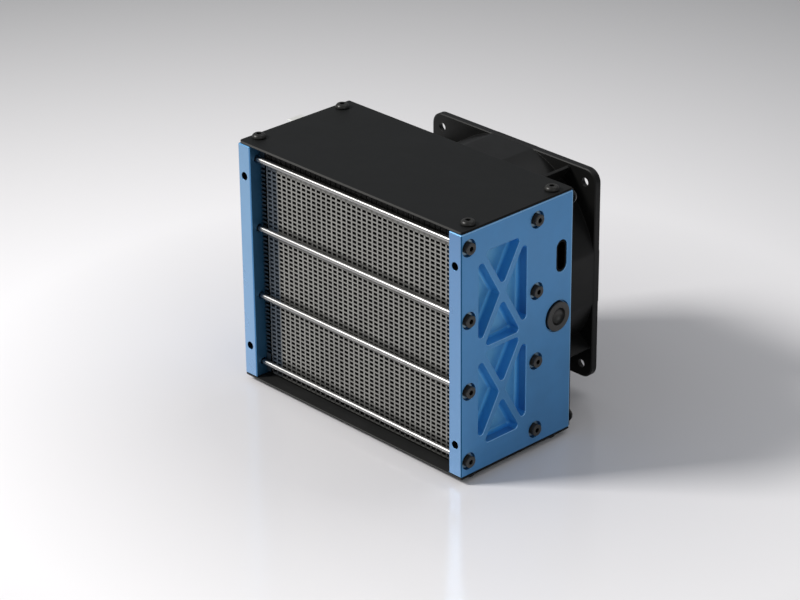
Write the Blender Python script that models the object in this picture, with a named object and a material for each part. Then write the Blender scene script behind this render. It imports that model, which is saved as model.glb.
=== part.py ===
"""Air-cooled fuel cell stack: two end plates clamp a block of cells, and a fan behind draws air through it.

Metres, +Z up. X runs along the stack, -Y is the open front where the air goes in, +Y is the fan.
The origin lies under the middle of the whole object, on the surface that it stands on.
"""

import math

import bmesh
import bpy
from mathutils import Euler, Vector

# Clearances
FIT_GAP = 0.0003
ROD_TO_CELL_GAP = 0.0004
FAN_TIP_GAP = 0.0015
HUB_GAP = 0.0010
PORT_GAP = 0.0005
COUNTERBORE_GAP = 0.0005
ROD_HOLE_GAP = 0.00065
CUT_MARGIN = 0.001

# Cell stack
CELL_COUNT = 36
CELL_PITCH = 0.0038
CELL_PLATE_WIDTH = 0.0010
CHANNEL_PITCH = 0.00243
CHANNEL_RIB = 0.00103
CHANNEL_END_MARGIN = 0.0103
CELL_EDGE_DEPTH = 0.0016
CELL_END_CLEARANCE = 0.0020

# End plates
PLATE_THICKNESS = 0.0090
PLATE_DEPTH = 0.0790
PLATE_HEIGHT = 0.1340
PLATE_CHAMFER = 0.0005

# Truss pockets in the end plates' outer faces
POCKET_FROM_FRONT_ROD = 0.0067
POCKET_FROM_REAR_ROD = 0.0072
POCKET_END_MARGIN = 0.0137
POCKET_GROUP_GAP = 0.0026
POCKET_BAR = 0.0036
POCKET_BAR_PAST_CORNER = 0.00345
POCKET_CORNER = 0.0020
POCKET_DEPTH = 0.0068
POCKET_FLOOR_FILLET = 0.0015

# Manifold plates and current collectors
MANIFOLD_THICKNESS = 0.0032
MANIFOLD_BACK_MARGIN = 0.0025
NOTCH_DEPTH = 0.0030
COLLAR_WALL = 0.0008
COLLAR_BELOW_FACE = 0.0004
COLLECTOR_THICKNESS = 0.0010
COLLECTOR_INSET = 0.0006
LUG_WIDTH = 0.0140
LUG_LENGTH = 0.0215
LUG_HEIGHT = 0.0280
LUG_HOLE_RADIUS = 0.0027

# Tie bolts, washers and nuts
ROD_RADIUS = 0.0015
ROD_ROWS = 4
ROD_END_MARGIN = 0.00805
ROD_FRONT_Y = 0.0053
ROD_FROM_BACK = 0.0258
ROD_END_PROUD = 0.0008
TIE_HEAD_RADIUS = 0.0031
TIE_HEAD_HEIGHT = 0.0030
TIE_HEAD_PROUD = 0.0018
TIE_HEAD_CHAMFER = 0.0003
TIE_SOCKET_ACROSS = 0.0028
TIE_SOCKET_DEPTH = 0.0016
WASHER_RADIUS = 0.0042
WASHER_THICKNESS = 0.0008
NUT_ACROSS = 0.0055
NUT_HEIGHT = 0.0020

# Slot, port and plain holes of the end plates
SLOT_WIDTH = 0.0075
SLOT_LENGTH = 0.0176
SLOT_FROM_BACK = 0.0078
SLOT_FROM_TOP = 0.0337
PORT_FROM_BACK = 0.0103
PORT_ABOVE_MIDDLE = 0.0004
PORT_FLANGE_RADIUS = 0.0080
PORT_FLANGE_THICKNESS = 0.0020
PORT_PROUD = 0.0010
PORT_BEVEL = 0.0003
PORT_BODY_RADIUS = 0.0060
PORT_DISH_RADIUS = 0.0049
PORT_DISH_DEPTH = 0.0024
PORT_DISH_RINGS = (0.8, 0.45)
EDGE_HOLE_RADIUS = 0.0022
EDGE_HOLE_WALL = 0.0020
EDGE_HOLE_END_MARGIN = 0.0176

# Covers and rear panel
COVER_THICKNESS = 0.0012
COVER_CORNER = 0.0020
PANEL_THICKNESS = 0.0010
PANEL_CORNER = 0.0015
PANEL_LAND = 0.0040

# Button head screws
SCREW_RADIUS = 0.0020
SCREW_HEAD_RADIUS = 0.0038
SCREW_HEAD_HEIGHT = 0.0022
SCREW_SHOULDER_RATIO = 0.84
SCREW_SHOULDER_HEIGHT = 0.0012
SCREW_CROWN_RATIO = 0.45
COVER_SCREW_TIP_WALL = 0.0006
COVER_SCREW_OFF_MIDDLE = 0.0010
COVER_SCREW_END_MARGIN = 0.0100
PANEL_SCREW_REACH = 0.0066
PANEL_SCREW_FROM_FACE = 0.0040
PANEL_SCREW_END_MARGIN = 0.0050
FAN_SCREW_TIP = 0.0016

# Fan
FAN_SIZE = 0.1200
FAN_OFF_CENTRE_X = 0.0030
FAN_OFF_CENTRE_Z = -0.0010
FAN_DEPTH = 0.0380
FAN_CORNER = 0.0070
FAN_FLANGE = 0.0043
FAN_HOLE_INSET = 0.0075
FAN_HOLE_RADIUS = 0.0023
FAN_HOLE_LAND = 0.0018
FAN_RECESS_RADIUS = 0.0042
FAN_SIDE_WALL = 0.0025
FAN_BODY_WALL = 0.0040
FAN_MOUTH_FLARE = 0.0012
FAN_MOUTH_DEPTH = 0.0030
FAN_WEB_THICKNESS = 0.0014
FAN_WEB_ANGLE = math.radians(9.5)
FAN_WEB_REACH = 0.0100
FAN_GASKET = 0.0020
FAN_STRUTS = 4
FAN_STRUT_WIDTH = 0.0050
FAN_STRUT_DEPTH = 0.0040
FAN_STRUT_OFFSET = 0.0080
FAN_BLADES = 7
BLADE_AXIAL_THICKNESS = 0.0022
BLADE_EDGE_MARGIN = 0.0015
BLADE_ROOT_SWEEP = 0.86
BLADE_TIP_SWEEP = 0.66
BLADE_CAMBER = 0.35
BLADE_STATIONS = 4
BLADE_RADII = 3
HUB_RADIUS = 0.0235
HUB_WALL = 0.0020
HUB_FRONT = 0.0050
HUB_EDGE_ROUND = 0.0015
HUB_BOSS_RADIUS = 0.0038
HUB_BOSS_LENGTH = 0.0040
MOTOR_BASE_THICKNESS = 0.0040
SHAFT_RADIUS = 0.0015
BEARING_RADIUS = 0.0040
BEARING_TUBE_WALL = 0.0014
BEARING_FROM_BOSS = 0.0050

# Connector on the left end plate
CONNECTOR_WIDTH = 0.0096
CONNECTOR_DEPTH = 0.0046
CONNECTOR_HEIGHT = 0.0116
CONNECTOR_FROM_REAR_ROD = 0.0096
CONNECTOR_RISE = 0.0007
CONNECTOR_WALL = 0.0009
CONNECTOR_FLOOR = 0.0030
PIN_WIDTH = 0.0009
PIN_SPACING = 0.0040
PIN_LENGTH = 0.0060
PIN_HOLD = 0.0020

# Facets round a full circle
FINE_STEPS = 32
HUB_STEPS = 20
PORT_STEPS = 16
BORE_STEPS = 12
HOLE_STEPS = 8
CORNER_STEPS = 3

# Places along X, from the left end plate's outer face to the right one's
CELLS_LENGTH = CELL_COUNT * CELL_PITCH
END_PACK = PLATE_THICKNESS + MANIFOLD_THICKNESS + COLLECTOR_THICKNESS + 3 * FIT_GAP
STACK_LENGTH = CELLS_LENGTH + 2 * END_PACK
OVERALL_LENGTH = CONNECTOR_DEPTH + FIT_GAP + STACK_LENGTH + TIE_HEAD_PROUD
LEFT_X = CONNECTOR_DEPTH + FIT_GAP - OVERALL_LENGTH / 2
RIGHT_X = LEFT_X + STACK_LENGTH
MIDDLE_X = (LEFT_X + RIGHT_X) / 2

# Places along Y, from the end plates' front edges to the back of the fan
PANEL_OFFSET = PLATE_DEPTH + FIT_GAP
GASKET_OFFSET = PANEL_OFFSET + PANEL_THICKNESS + FIT_GAP
FAN_OFFSET = GASKET_OFFSET + FAN_GASKET + FIT_GAP
OVERALL_DEPTH = FAN_OFFSET + FAN_DEPTH
FRONT_Y = -OVERALL_DEPTH / 2
FAN_Y = FRONT_Y + FAN_OFFSET
ROD_REAR_Y = PLATE_DEPTH - ROD_FROM_BACK
CELL_FRONT = ROD_FRONT_Y + ROD_RADIUS + ROD_TO_CELL_GAP
CELL_BACK = ROD_REAR_Y - ROD_RADIUS - ROD_TO_CELL_GAP

# Places along Z, up from the floor
BASE_Z = SCREW_HEAD_HEIGHT + FIT_GAP + COVER_THICKNESS + FIT_GAP
TOP_Z = BASE_Z + PLATE_HEIGHT
MIDDLE_Z = BASE_Z + PLATE_HEIGHT / 2
ROD_ROW_PITCH = (PLATE_HEIGHT - 2 * ROD_END_MARGIN) / (ROD_ROWS - 1)
CELL_HEIGHT = PLATE_HEIGHT - 2 * CELL_END_CLEARANCE
CHANNEL_ROWS = int((CELL_HEIGHT - 2 * CHANNEL_END_MARGIN) / CHANNEL_PITCH)
CHANNEL_BAND = CHANNEL_ROWS * CHANNEL_PITCH

# Features of the end plates
POCKET_LOW_Y = ROD_FRONT_Y + POCKET_FROM_FRONT_ROD
POCKET_HIGH_Y = ROD_REAR_Y - POCKET_FROM_REAR_ROD
POCKET_GROUP_WIDTH = POCKET_HIGH_Y - POCKET_LOW_Y
POCKET_GROUP_HEIGHT = (PLATE_HEIGHT - 2 * POCKET_END_MARGIN - POCKET_GROUP_GAP) / 2
SLOT_Y = PLATE_DEPTH - SLOT_FROM_BACK
SLOT_HEIGHT = PLATE_HEIGHT - SLOT_FROM_TOP
PORT_Y = PLATE_DEPTH - PORT_FROM_BACK
PORT_HEIGHT = PLATE_HEIGHT / 2 + PORT_ABOVE_MIDDLE
EDGE_HOLE_DEPTH = POCKET_LOW_Y - EDGE_HOLE_WALL

# The fan's axis, its round parts and what lies along its axis
FAN_X = MIDDLE_X + FAN_OFF_CENTRE_X
FAN_Z = MIDDLE_Z + FAN_OFF_CENTRE_Z
FAN_BORE_RADIUS = FAN_SIZE / 2 - FAN_SIDE_WALL
FAN_BODY_RADIUS = FAN_BORE_RADIUS + FAN_BODY_WALL
FAN_CORNER_HOLE = FAN_SIZE / 2 - FAN_HOLE_INSET
MOTOR_BASE_FRONT = FAN_DEPTH - MOTOR_BASE_THICKNESS
HUB_CAP_BACK = HUB_FRONT + HUB_WALL
BEARING_LENGTH = MOTOR_BASE_FRONT - HUB_CAP_BACK - HUB_BOSS_LENGTH - BEARING_FROM_BOSS

# Holes and depths that follow from what sits in them
ROD_HOLE_RADIUS = ROD_RADIUS + ROD_HOLE_GAP
COUNTERBORE_RADIUS = WASHER_RADIUS + COUNTERBORE_GAP
COUNTERBORE_DEPTH = TIE_HEAD_HEIGHT + WASHER_THICKNESS + 2 * FIT_GAP - TIE_HEAD_PROUD
SCREW_HOLE_RADIUS = SCREW_RADIUS + FIT_GAP
COVER_SCREW_FROM_FACE = PLATE_THICKNESS / 2 + COVER_SCREW_OFF_MIDDLE
COVER_SCREW_REACH = ROD_END_MARGIN - ROD_HOLE_RADIUS - COVER_SCREW_TIP_WALL - FIT_GAP
FAN_SCREW_REACH = FAN_FLANGE + FAN_GASKET + PANEL_THICKNESS + 3 * FIT_GAP + FAN_SCREW_TIP

TURN_TO_X = Euler((0, math.radians(90), 0))
TURN_TO_MINUS_X = Euler((0, math.radians(-90), 0))
TURN_TO_Y = Euler((math.radians(-90), 0, 0))
TURN_TO_UP = Euler((0, 0, 0))
TURN_TO_DOWN = Euler((math.radians(180), 0, 0))


def clear_scene():
    """Removes whatever the scene holds before the model is built."""
    for old in list(bpy.data.objects):
        bpy.data.objects.remove(old, do_unlink=True)


def material(name, colour, roughness, metallic):
    """A plain Principled material."""
    made = bpy.data.materials.get(name) or bpy.data.materials.new(name)
    made.use_nodes = True
    shader = made.node_tree.nodes["Principled BSDF"]
    shader.inputs["Base Color"].default_value = (*colour, 1.0)
    shader.inputs["Roughness"].default_value = roughness
    shader.inputs["Metallic"].default_value = metallic
    return made


MATERIALS = {
    "blue": ("blue_anodised", (0.06, 0.18, 0.38), 0.42, 0.85),
    "sheet": ("black_sheet", (0.022, 0.024, 0.024), 0.55, 0.2),
    "cells": ("cell_plates", (0.36, 0.35, 0.33), 0.5, 0.4),
    "manifold": ("manifold_plastic", (0.03, 0.04, 0.05), 0.6, 0.0),
    "copper": ("plated_copper", (0.72, 0.55, 0.28), 0.35, 1.0),
    "steel": ("polished_steel", (0.62, 0.62, 0.62), 0.2, 1.0),
    "washer_steel": ("zinc_plated_steel", (0.55, 0.56, 0.57), 0.3, 1.0),
    "black_steel": ("blackened_steel", (0.035, 0.034, 0.032), 0.4, 0.8),
    "fan": ("fan_plastic", (0.018, 0.018, 0.018), 0.5, 0.0),
    "rubber": ("gasket_rubber", (0.02, 0.02, 0.02), 0.8, 0.0),
    "bronze": ("bearing_bronze", (0.55, 0.36, 0.18), 0.35, 1.0),
    "port": ("port_plastic", (0.035, 0.034, 0.032), 0.5, 0.0),
    "connector": ("connector_plastic", (0.62, 0.62, 0.6), 0.5, 0.0),
}


def add_object(name, mesh, finish, place, turn=TURN_TO_UP):
    """Puts a mesh into the scene as one named piece."""
    if not mesh.materials:
        mesh.materials.append(material(*MATERIALS[finish]))
    piece = bpy.data.objects.new(name, mesh)
    piece.location = place
    piece.rotation_euler = turn
    bpy.context.scene.collection.objects.link(piece)
    return piece


def mesh_from(shape, name):
    """Closes a bmesh into a mesh with its faces pointing out and its round sides smooth."""
    bmesh.ops.recalc_face_normals(shape, faces=shape.faces)
    mesh = bpy.data.meshes.new(name)
    shape.to_mesh(mesh)
    shape.free()
    mesh.shade_smooth()
    mesh.set_sharp_from_angle(angle=math.radians(30))
    return mesh


def ring_points(radius, steps, phase=0.0):
    """Points round a circle."""
    turns = [phase + 2 * math.pi * k / steps for k in range(steps)]
    return [(radius * math.cos(t), radius * math.sin(t)) for t in turns]


def hex_points(across, steps):
    """Points round a hexagon that is so wide across its flats, as many as a circle would have."""
    points = []
    for k in range(steps):
        angle = 2 * math.pi * k / steps
        from_flat = (angle + math.pi / 6) % (math.pi / 3) - math.pi / 6
        reach = across / 2 / math.cos(from_flat)
        points.append((reach * math.cos(angle), reach * math.sin(angle)))
    return points


def rounded_outline(corners, radius, shrink=0.0, steps=CORNER_STEPS):
    """A convex outline, corners given anticlockwise, with each corner an arc; shrink moves it inwards."""
    outline = []
    count = len(corners)
    for k, corner in enumerate(corners):
        here = Vector(corner)
        back = (Vector(corners[k - 1]) - here).normalized()
        ahead = (Vector(corners[(k + 1) % count]) - here).normalized()
        half_angle = back.angle(ahead) / 2
        centre = here + (back + ahead).normalized() * (radius / math.sin(half_angle))
        start = math.atan2(back.x, -back.y)
        sweep = math.pi - 2 * half_angle
        for j in range(steps + 1):
            angle = start + sweep * j / steps
            outline.append((centre.x + (radius - shrink) * math.cos(angle),
                            centre.y + (radius - shrink) * math.sin(angle)))
    return outline


def box_outline(low_u, high_u, low_v, high_v):
    """The four corners of a rectangle, anticlockwise."""
    return [(low_u, low_v), (high_u, low_v), (high_u, high_v), (low_u, high_v)]


def obround_outline(width, length, steps):
    """An upright slot with round ends, about its own middle."""
    straight = (length - width) / 2
    half = [math.pi * k / steps for k in range(steps + 1)]
    top = [(width / 2 * math.cos(t), straight + width / 2 * math.sin(t)) for t in half]
    return top + [(-u, -v) for u, v in top]


def spread(points, height, axis):
    """Places flat points at a height along X, Y or Z."""
    if axis == "X":
        return [(height, u, v) for u, v in points]
    if axis == "Y":
        return [(u, height, v) for u, v in points]
    return [(u, v, height) for u, v in points]


def loft(shape, rings):
    """Joins rings of as many points each into one closed solid, with flat ends."""
    rows = [[shape.verts.new(p) for p in ring] for ring in rings]
    count = len(rows[0])
    for lower, upper in zip(rows, rows[1:]):
        for k in range(count):
            after = (k + 1) % count
            shape.faces.new((lower[k], lower[after], upper[after], upper[k]))
    shape.faces.new(rows[0])
    shape.faces.new(rows[-1])


def prism(shape, outline, start, end, axis, shift=(0.0, 0.0)):
    """A straight solid with the outline as its section."""
    moved = [(u + shift[0], v + shift[1]) for u, v in outline]
    loft(shape, [spread(moved, start, axis), spread(moved, end, axis)])


def turned(profile, steps):
    """A ring-shaped or solid turned mesh about +Z from a closed profile of (radius, height)."""
    shape = bmesh.new()
    verts = [shape.verts.new((radius, 0, height)) for radius, height in profile]
    edges = [shape.edges.new((verts[k - 1], verts[k])) for k in range(len(verts))]
    bmesh.ops.spin(shape, geom=verts + edges, cent=(0, 0, 0), axis=(0, 0, 1),
                   angle=2 * math.pi, steps=steps, use_merge=True)
    bmesh.ops.remove_doubles(shape, verts=shape.verts, dist=1e-7)
    bmesh.ops.dissolve_degenerate(shape, edges=shape.edges, dist=1e-7)
    return shape


def stepped_cutter(shape, steps_of_bore, centre, axis, segments):
    """A round cutter whose radius changes at each given height."""
    rings = []
    for radius, height in steps_of_bore:
        moved = [(u + centre[0], v + centre[1]) for u, v in ring_points(radius, segments)]
        rings.append(spread(moved, height, axis))
    loft(shape, rings)


def combine(piece, tool_shape, operation):
    """Cuts or joins the piece with a temporary solid."""
    tool = bpy.data.objects.new("cutter", mesh_from(tool_shape, "cutter"))
    tool.hide_render = True
    tool.display_type = "WIRE"
    tool.location = piece.location
    tool.rotation_euler = piece.rotation_euler
    bpy.context.scene.collection.objects.link(tool)
    change = piece.modifiers.new("change", "BOOLEAN")
    change.operation = operation
    change.solver = "EXACT"
    change.object = tool
    graph = bpy.context.evaluated_depsgraph_get()
    result = bpy.data.meshes.new_from_object(piece.evaluated_get(graph))
    piece.modifiers.clear()
    piece.data = result
    bpy.data.objects.remove(tool, do_unlink=True)
    piece.data.shade_smooth()
    piece.data.set_sharp_from_angle(angle=math.radians(30))


def rod_places():
    """Where the tie rods run: (Y, height) from an end plate's front lower edge."""
    heights = [ROD_END_MARGIN + k * ROD_ROW_PITCH for k in range(ROD_ROWS)]
    return [(y, z) for y in (ROD_FRONT_Y, ROD_REAR_Y) for z in heights]


def pocket_triangles():
    """The four sharp-cornered triangles of one truss group, about its middle."""
    half_w = POCKET_GROUP_WIDTH / 2
    half_h = POCKET_GROUP_HEIGHT / 2
    bar_angle = math.atan2(half_h + POCKET_BAR_PAST_CORNER, half_w)
    slope = math.tan(bar_angle)
    side = POCKET_BAR / 2 / math.sin(bar_angle)
    rise = POCKET_BAR / 2 / math.cos(bar_angle)
    base = (half_h - rise) / slope
    top = [(base, half_h), (-base, half_h), (0.0, rise)]
    right_reach = (half_w - side) * slope
    right = [(side, 0.0), (half_w, -right_reach), (half_w, right_reach)]
    bottom = [(-u, -v) for u, v in top]
    left = [(-u, -v) for u, v in right]
    return [top, right, bottom, left]


def cut_pockets(shape, side):
    """The lightening pockets, with a fillet round each floor."""
    half_pitch = (POCKET_GROUP_HEIGHT + POCKET_GROUP_GAP) / 2
    centre_y = (POCKET_LOW_Y + POCKET_HIGH_Y) / 2
    wall_end = POCKET_DEPTH - POCKET_FLOOR_FILLET
    levels = [(CUT_MARGIN, 0.0), (-wall_end, 0.0), (-POCKET_DEPTH, POCKET_FLOOR_FILLET)]
    for group in (-half_pitch, half_pitch):
        for corners in pocket_triangles():
            rings = []
            for height, shrink in levels:
                outline = rounded_outline(corners, POCKET_CORNER, shrink)
                moved = [(u + centre_y, v + PLATE_HEIGHT / 2 + group) for u, v in outline]
                rings.append(spread(moved, side * height, "X"))
            loft(shape, rings)


def cut_plate_faces(shape, side):
    """The counterbored rod holes, the cable slot and the port's stepped hole."""
    through = -PLATE_THICKNESS - CUT_MARGIN
    bore = [(COUNTERBORE_RADIUS, CUT_MARGIN), (COUNTERBORE_RADIUS, -COUNTERBORE_DEPTH),
            (ROD_HOLE_RADIUS, -COUNTERBORE_DEPTH), (ROD_HOLE_RADIUS, through)]
    for place in rod_places():
        stepped_cutter(shape, [(r, side * h) for r, h in bore], place, "X", BORE_STEPS)
    slot = obround_outline(SLOT_WIDTH, SLOT_LENGTH, CORNER_STEPS * 2)
    prism(shape, slot, side * CUT_MARGIN, side * through, "X", (SLOT_Y, SLOT_HEIGHT))
    seat = PORT_FLANGE_THICKNESS + FIT_GAP - PORT_PROUD
    port = [(PORT_FLANGE_RADIUS + PORT_GAP, CUT_MARGIN), (PORT_FLANGE_RADIUS + PORT_GAP, -seat),
            (PORT_BODY_RADIUS + FIT_GAP, -seat), (PORT_BODY_RADIUS + FIT_GAP, through)]
    stepped_cutter(shape, [(r, side * h) for r, h in port], (PORT_Y, PORT_HEIGHT), "X", PORT_STEPS)


def blind_hole(shape, radius, centre, start, end, axis):
    """A plain round hole."""
    prism(shape, ring_points(radius, HOLE_STEPS), start, end, axis, centre)


def cut_plate_edges(shape, side):
    """The screw holes in the plate's front, back, top and bottom edges."""
    middle = -side * PLATE_THICKNESS / 2
    for height in (EDGE_HOLE_END_MARGIN, PLATE_HEIGHT - EDGE_HOLE_END_MARGIN):
        blind_hole(shape, EDGE_HOLE_RADIUS, (middle, height), -CUT_MARGIN, EDGE_HOLE_DEPTH, "Y")
    reach = PANEL_SCREW_REACH + FIT_GAP
    across = -side * PANEL_SCREW_FROM_FACE
    for height in (PANEL_SCREW_END_MARGIN, PLATE_HEIGHT - PANEL_SCREW_END_MARGIN):
        centre = (across, height)
        blind_hole(shape, SCREW_HOLE_RADIUS, centre, PLATE_DEPTH - reach, PLATE_DEPTH + CUT_MARGIN, "Y")
    across = -side * COVER_SCREW_FROM_FACE
    reach = COVER_SCREW_REACH + FIT_GAP
    for y in (COVER_SCREW_END_MARGIN, PLATE_DEPTH - COVER_SCREW_END_MARGIN):
        centre = (across, y)
        blind_hole(shape, SCREW_HOLE_RADIUS, centre, -CUT_MARGIN, reach, "Z")
        blind_hole(shape, SCREW_HOLE_RADIUS, centre, PLATE_HEIGHT - reach, PLATE_HEIGHT + CUT_MARGIN, "Z")


def end_plate(name, face_x, side):
    """A milled end plate; side is 1 for the right one and -1 for the left one."""
    shape = bmesh.new()
    prism(shape, box_outline(0, PLATE_DEPTH, 0, PLATE_HEIGHT), -side * PLATE_THICKNESS, 0, "X")
    bmesh.ops.bevel(shape, geom=list(shape.edges), offset=PLATE_CHAMFER, segments=1, affect="EDGES")
    plate = add_object(name, mesh_from(shape, name), "blue", (face_x, FRONT_Y, BASE_Z))
    cutter = bmesh.new()
    cut_pockets(cutter, side)
    cut_plate_faces(cutter, side)
    cut_plate_edges(cutter, side)
    combine(plate, cutter, "DIFFERENCE")


def cover(name, base_z):
    """A flat sheet cover with its four screw holes."""
    shape = bmesh.new()
    outline = rounded_outline(box_outline(0, STACK_LENGTH, 0, PLATE_DEPTH), COVER_CORNER)
    prism(shape, outline, 0, COVER_THICKNESS, "Z")
    sheet = add_object(name, mesh_from(shape, name), "sheet", (LEFT_X, FRONT_Y, base_z))
    cutter = bmesh.new()
    for x in (COVER_SCREW_FROM_FACE, STACK_LENGTH - COVER_SCREW_FROM_FACE):
        for y in (COVER_SCREW_END_MARGIN, PLATE_DEPTH - COVER_SCREW_END_MARGIN):
            blind_hole(cutter, SCREW_HOLE_RADIUS, (x, y), -CUT_MARGIN, COVER_THICKNESS + CUT_MARGIN, "Z")
    combine(sheet, cutter, "DIFFERENCE")


def fan_hole_places():
    """The fan's four screw places, about its axis."""
    return [(u, v) for u in (-FAN_CORNER_HOLE, FAN_CORNER_HOLE) for v in (-FAN_CORNER_HOLE, FAN_CORNER_HOLE)]


def rear_panel():
    """The sheet that closes the back and carries the fan."""
    shape = bmesh.new()
    half_x = STACK_LENGTH / 2
    half_z = PLATE_HEIGHT / 2
    wide = max(half_x, FAN_BORE_RADIUS + abs(FAN_OFF_CENTRE_X) + PANEL_LAND)
    tall = max(half_z, FAN_BORE_RADIUS + abs(FAN_OFF_CENTRE_Z) + PANEL_LAND)
    outline = rounded_outline(box_outline(-wide, wide, -tall, tall), PANEL_CORNER)
    prism(shape, outline, 0, PANEL_THICKNESS, "Y")
    place = (MIDDLE_X, FRONT_Y + PANEL_OFFSET, MIDDLE_Z)
    panel = add_object("rear_panel", mesh_from(shape, "rear_panel"), "sheet", place)
    cutter = bmesh.new()
    ends = (-CUT_MARGIN, PANEL_THICKNESS + CUT_MARGIN)
    off_centre = (FAN_OFF_CENTRE_X, FAN_OFF_CENTRE_Z)
    prism(cutter, ring_points(FAN_BORE_RADIUS, FINE_STEPS), *ends, "Y", off_centre)
    for x, z in fan_hole_places():
        blind_hole(cutter, SCREW_HOLE_RADIUS, (x + off_centre[0], z + off_centre[1]), *ends, "Y")
    for x in (PANEL_SCREW_FROM_FACE - half_x, half_x - PANEL_SCREW_FROM_FACE):
        for z in (PANEL_SCREW_END_MARGIN - half_z, half_z - PANEL_SCREW_END_MARGIN):
            blind_hole(cutter, SCREW_HOLE_RADIUS, (x, z), *ends, "Y")
    combine(panel, cutter, "DIFFERENCE")


class SharedCorners:
    """Adds flat faces to a bmesh so that faces that meet share their corners."""

    def __init__(self):
        self.shape = bmesh.new()
        self.known = {}

    def corner(self, place):
        key = tuple(round(value, 7) for value in place)
        if key not in self.known:
            self.known[key] = self.shape.verts.new(place)
        return self.known[key]

    def face(self, places):
        self.shape.faces.new([self.corner(place) for place in places])


def flat_edge(mesh, outer, inner, y):
    """The front or back face of the cell block: margins round the tall gaps between the cell plates."""
    low_x, high_x, low_z, high_z = outer
    gaps, band_low, band_high = inner
    below = [(x, y, band_low) for gap in gaps for x in gap]
    above = [(x, y, band_high) for gap in gaps for x in gap]
    first_x, last_x = gaps[0][0], gaps[-1][1]
    mesh.face([(low_x, y, low_z), (high_x, y, low_z)] + below[::-1])
    mesh.face([(high_x, y, high_z), (low_x, y, high_z)] + above)
    mesh.face([(low_x, y, low_z), (first_x, y, band_low), (first_x, y, band_high), (low_x, y, high_z)])
    mesh.face([(high_x, y, low_z), (last_x, y, band_low), (last_x, y, band_high), (high_x, y, high_z)])
    for left, right in zip(gaps, gaps[1:]):
        mesh.face([(left[1], y, band_low), (right[0], y, band_low),
                   (right[0], y, band_high), (left[1], y, band_high)])


def plate_edges(mesh, inner, face_y, inner_y, rib_y, rows):
    """The cell plates' edges at one face: tall gaps in front, then a thin space before the ribs."""
    gaps, band_low, band_high = inner
    for low, high in gaps:
        for x in (low, high):
            mesh.face([(x, face_y, band_low), (x, inner_y, band_low),
                       (x, inner_y, band_high), (x, face_y, band_high)])
        for z in (band_low, band_high):
            mesh.face([(low, face_y, z), (high, face_y, z), (high, inner_y, z), (low, inner_y, z)])
    for left, right in zip(gaps, gaps[1:]):
        mesh.face([(left[1], inner_y, band_low), (right[0], inner_y, band_low),
                   (right[0], inner_y, band_high), (left[1], inner_y, band_high)])
    first_x, last_x = gaps[0][0], gaps[-1][1]
    row_of_corners = [x for gap in gaps for x in gap]
    for z in (band_low, band_high):
        near = [(x, inner_y, z) for x in row_of_corners]
        mesh.face(near + [(last_x, rib_y, z), (first_x, rib_y, z)])
    rib_edges = [z for row in rows for z in row]
    for x in (first_x, last_x):
        near = [(x, rib_y, z) for z in rib_edges]
        mesh.face(near + [(x, inner_y, band_high), (x, inner_y, band_low)])
    for lower, upper in zip(rows, rows[1:]):
        mesh.face([(first_x, rib_y, lower[1]), (last_x, rib_y, lower[1]),
                   (last_x, rib_y, upper[0]), (first_x, rib_y, upper[0])])


def air_channels(mesh, first_x, last_x, near_y, far_y, rows):
    """The air channels' inner walls: each row runs right through from front to back."""
    for low, high in rows:
        for z in (low, high):
            mesh.face([(first_x, near_y, z), (last_x, near_y, z), (last_x, far_y, z), (first_x, far_y, z)])
        for x in (first_x, last_x):
            mesh.face([(x, near_y, low), (x, far_y, low), (x, far_y, high), (x, near_y, high)])


def cell_stack():
    """The clamped cells: plate edges at front and back, and rows of air channels between them."""
    depth = CELL_BACK - CELL_FRONT
    half_x = CELLS_LENGTH / 2
    open_half = (CELL_PITCH - CELL_PLATE_WIDTH) / 2
    centres = [(k + 0.5) * CELL_PITCH - half_x for k in range(CELL_COUNT)]
    gaps = [(x - open_half, x + open_half) for x in centres]
    band_low = (CELL_HEIGHT - CHANNEL_BAND + CHANNEL_RIB) / 2
    opening = CHANNEL_PITCH - CHANNEL_RIB
    lows = [band_low + k * CHANNEL_PITCH for k in range(CHANNEL_ROWS)]
    rows = [(low, low + opening) for low in lows]
    band_high = rows[-1][1]
    inner = (gaps, band_low, band_high)
    outer = (-half_x, half_x, 0.0, CELL_HEIGHT)
    first_x, last_x = gaps[0][0], gaps[-1][1]
    near_rib = CELL_EDGE_DEPTH + FIT_GAP
    mesh = SharedCorners()
    flat_edge(mesh, outer, inner, 0.0)
    flat_edge(mesh, outer, inner, depth)
    plate_edges(mesh, inner, 0.0, CELL_EDGE_DEPTH, near_rib, rows)
    plate_edges(mesh, inner, depth, depth - CELL_EDGE_DEPTH, depth - near_rib, rows)
    air_channels(mesh, first_x, last_x, near_rib, depth - near_rib, rows)
    for z in (0.0, CELL_HEIGHT):
        mesh.face([(-half_x, 0, z), (half_x, 0, z), (half_x, depth, z), (-half_x, depth, z)])
    for x in (-half_x, half_x):
        mesh.face([(x, 0, 0), (x, depth, 0), (x, depth, CELL_HEIGHT), (x, 0, CELL_HEIGHT)])
    place = (MIDDLE_X, FRONT_Y + CELL_FRONT, BASE_Z + CELL_END_CLEARANCE)
    add_object("cell_stack", mesh_from(mesh.shape, "cell_stack"), "cells", place)


def notched_outline():
    """The manifold plate's outline: a comb of air notches along its front edge."""
    depth = PLATE_DEPTH - MANIFOLD_BACK_MARGIN - CELL_FRONT
    first = (CELL_HEIGHT - CHANNEL_BAND + CHANNEL_RIB) / 2
    outline = [(0.0, 0.0), (depth, 0.0), (depth, CELL_HEIGHT), (0.0, CELL_HEIGHT)]
    for k in reversed(range(CHANNEL_ROWS)):
        low = first + k * CHANNEL_PITCH
        high = low + CHANNEL_PITCH - CHANNEL_RIB
        outline += [(0.0, high), (NOTCH_DEPTH, high), (NOTCH_DEPTH, low), (0.0, low)]
    return outline


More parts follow.
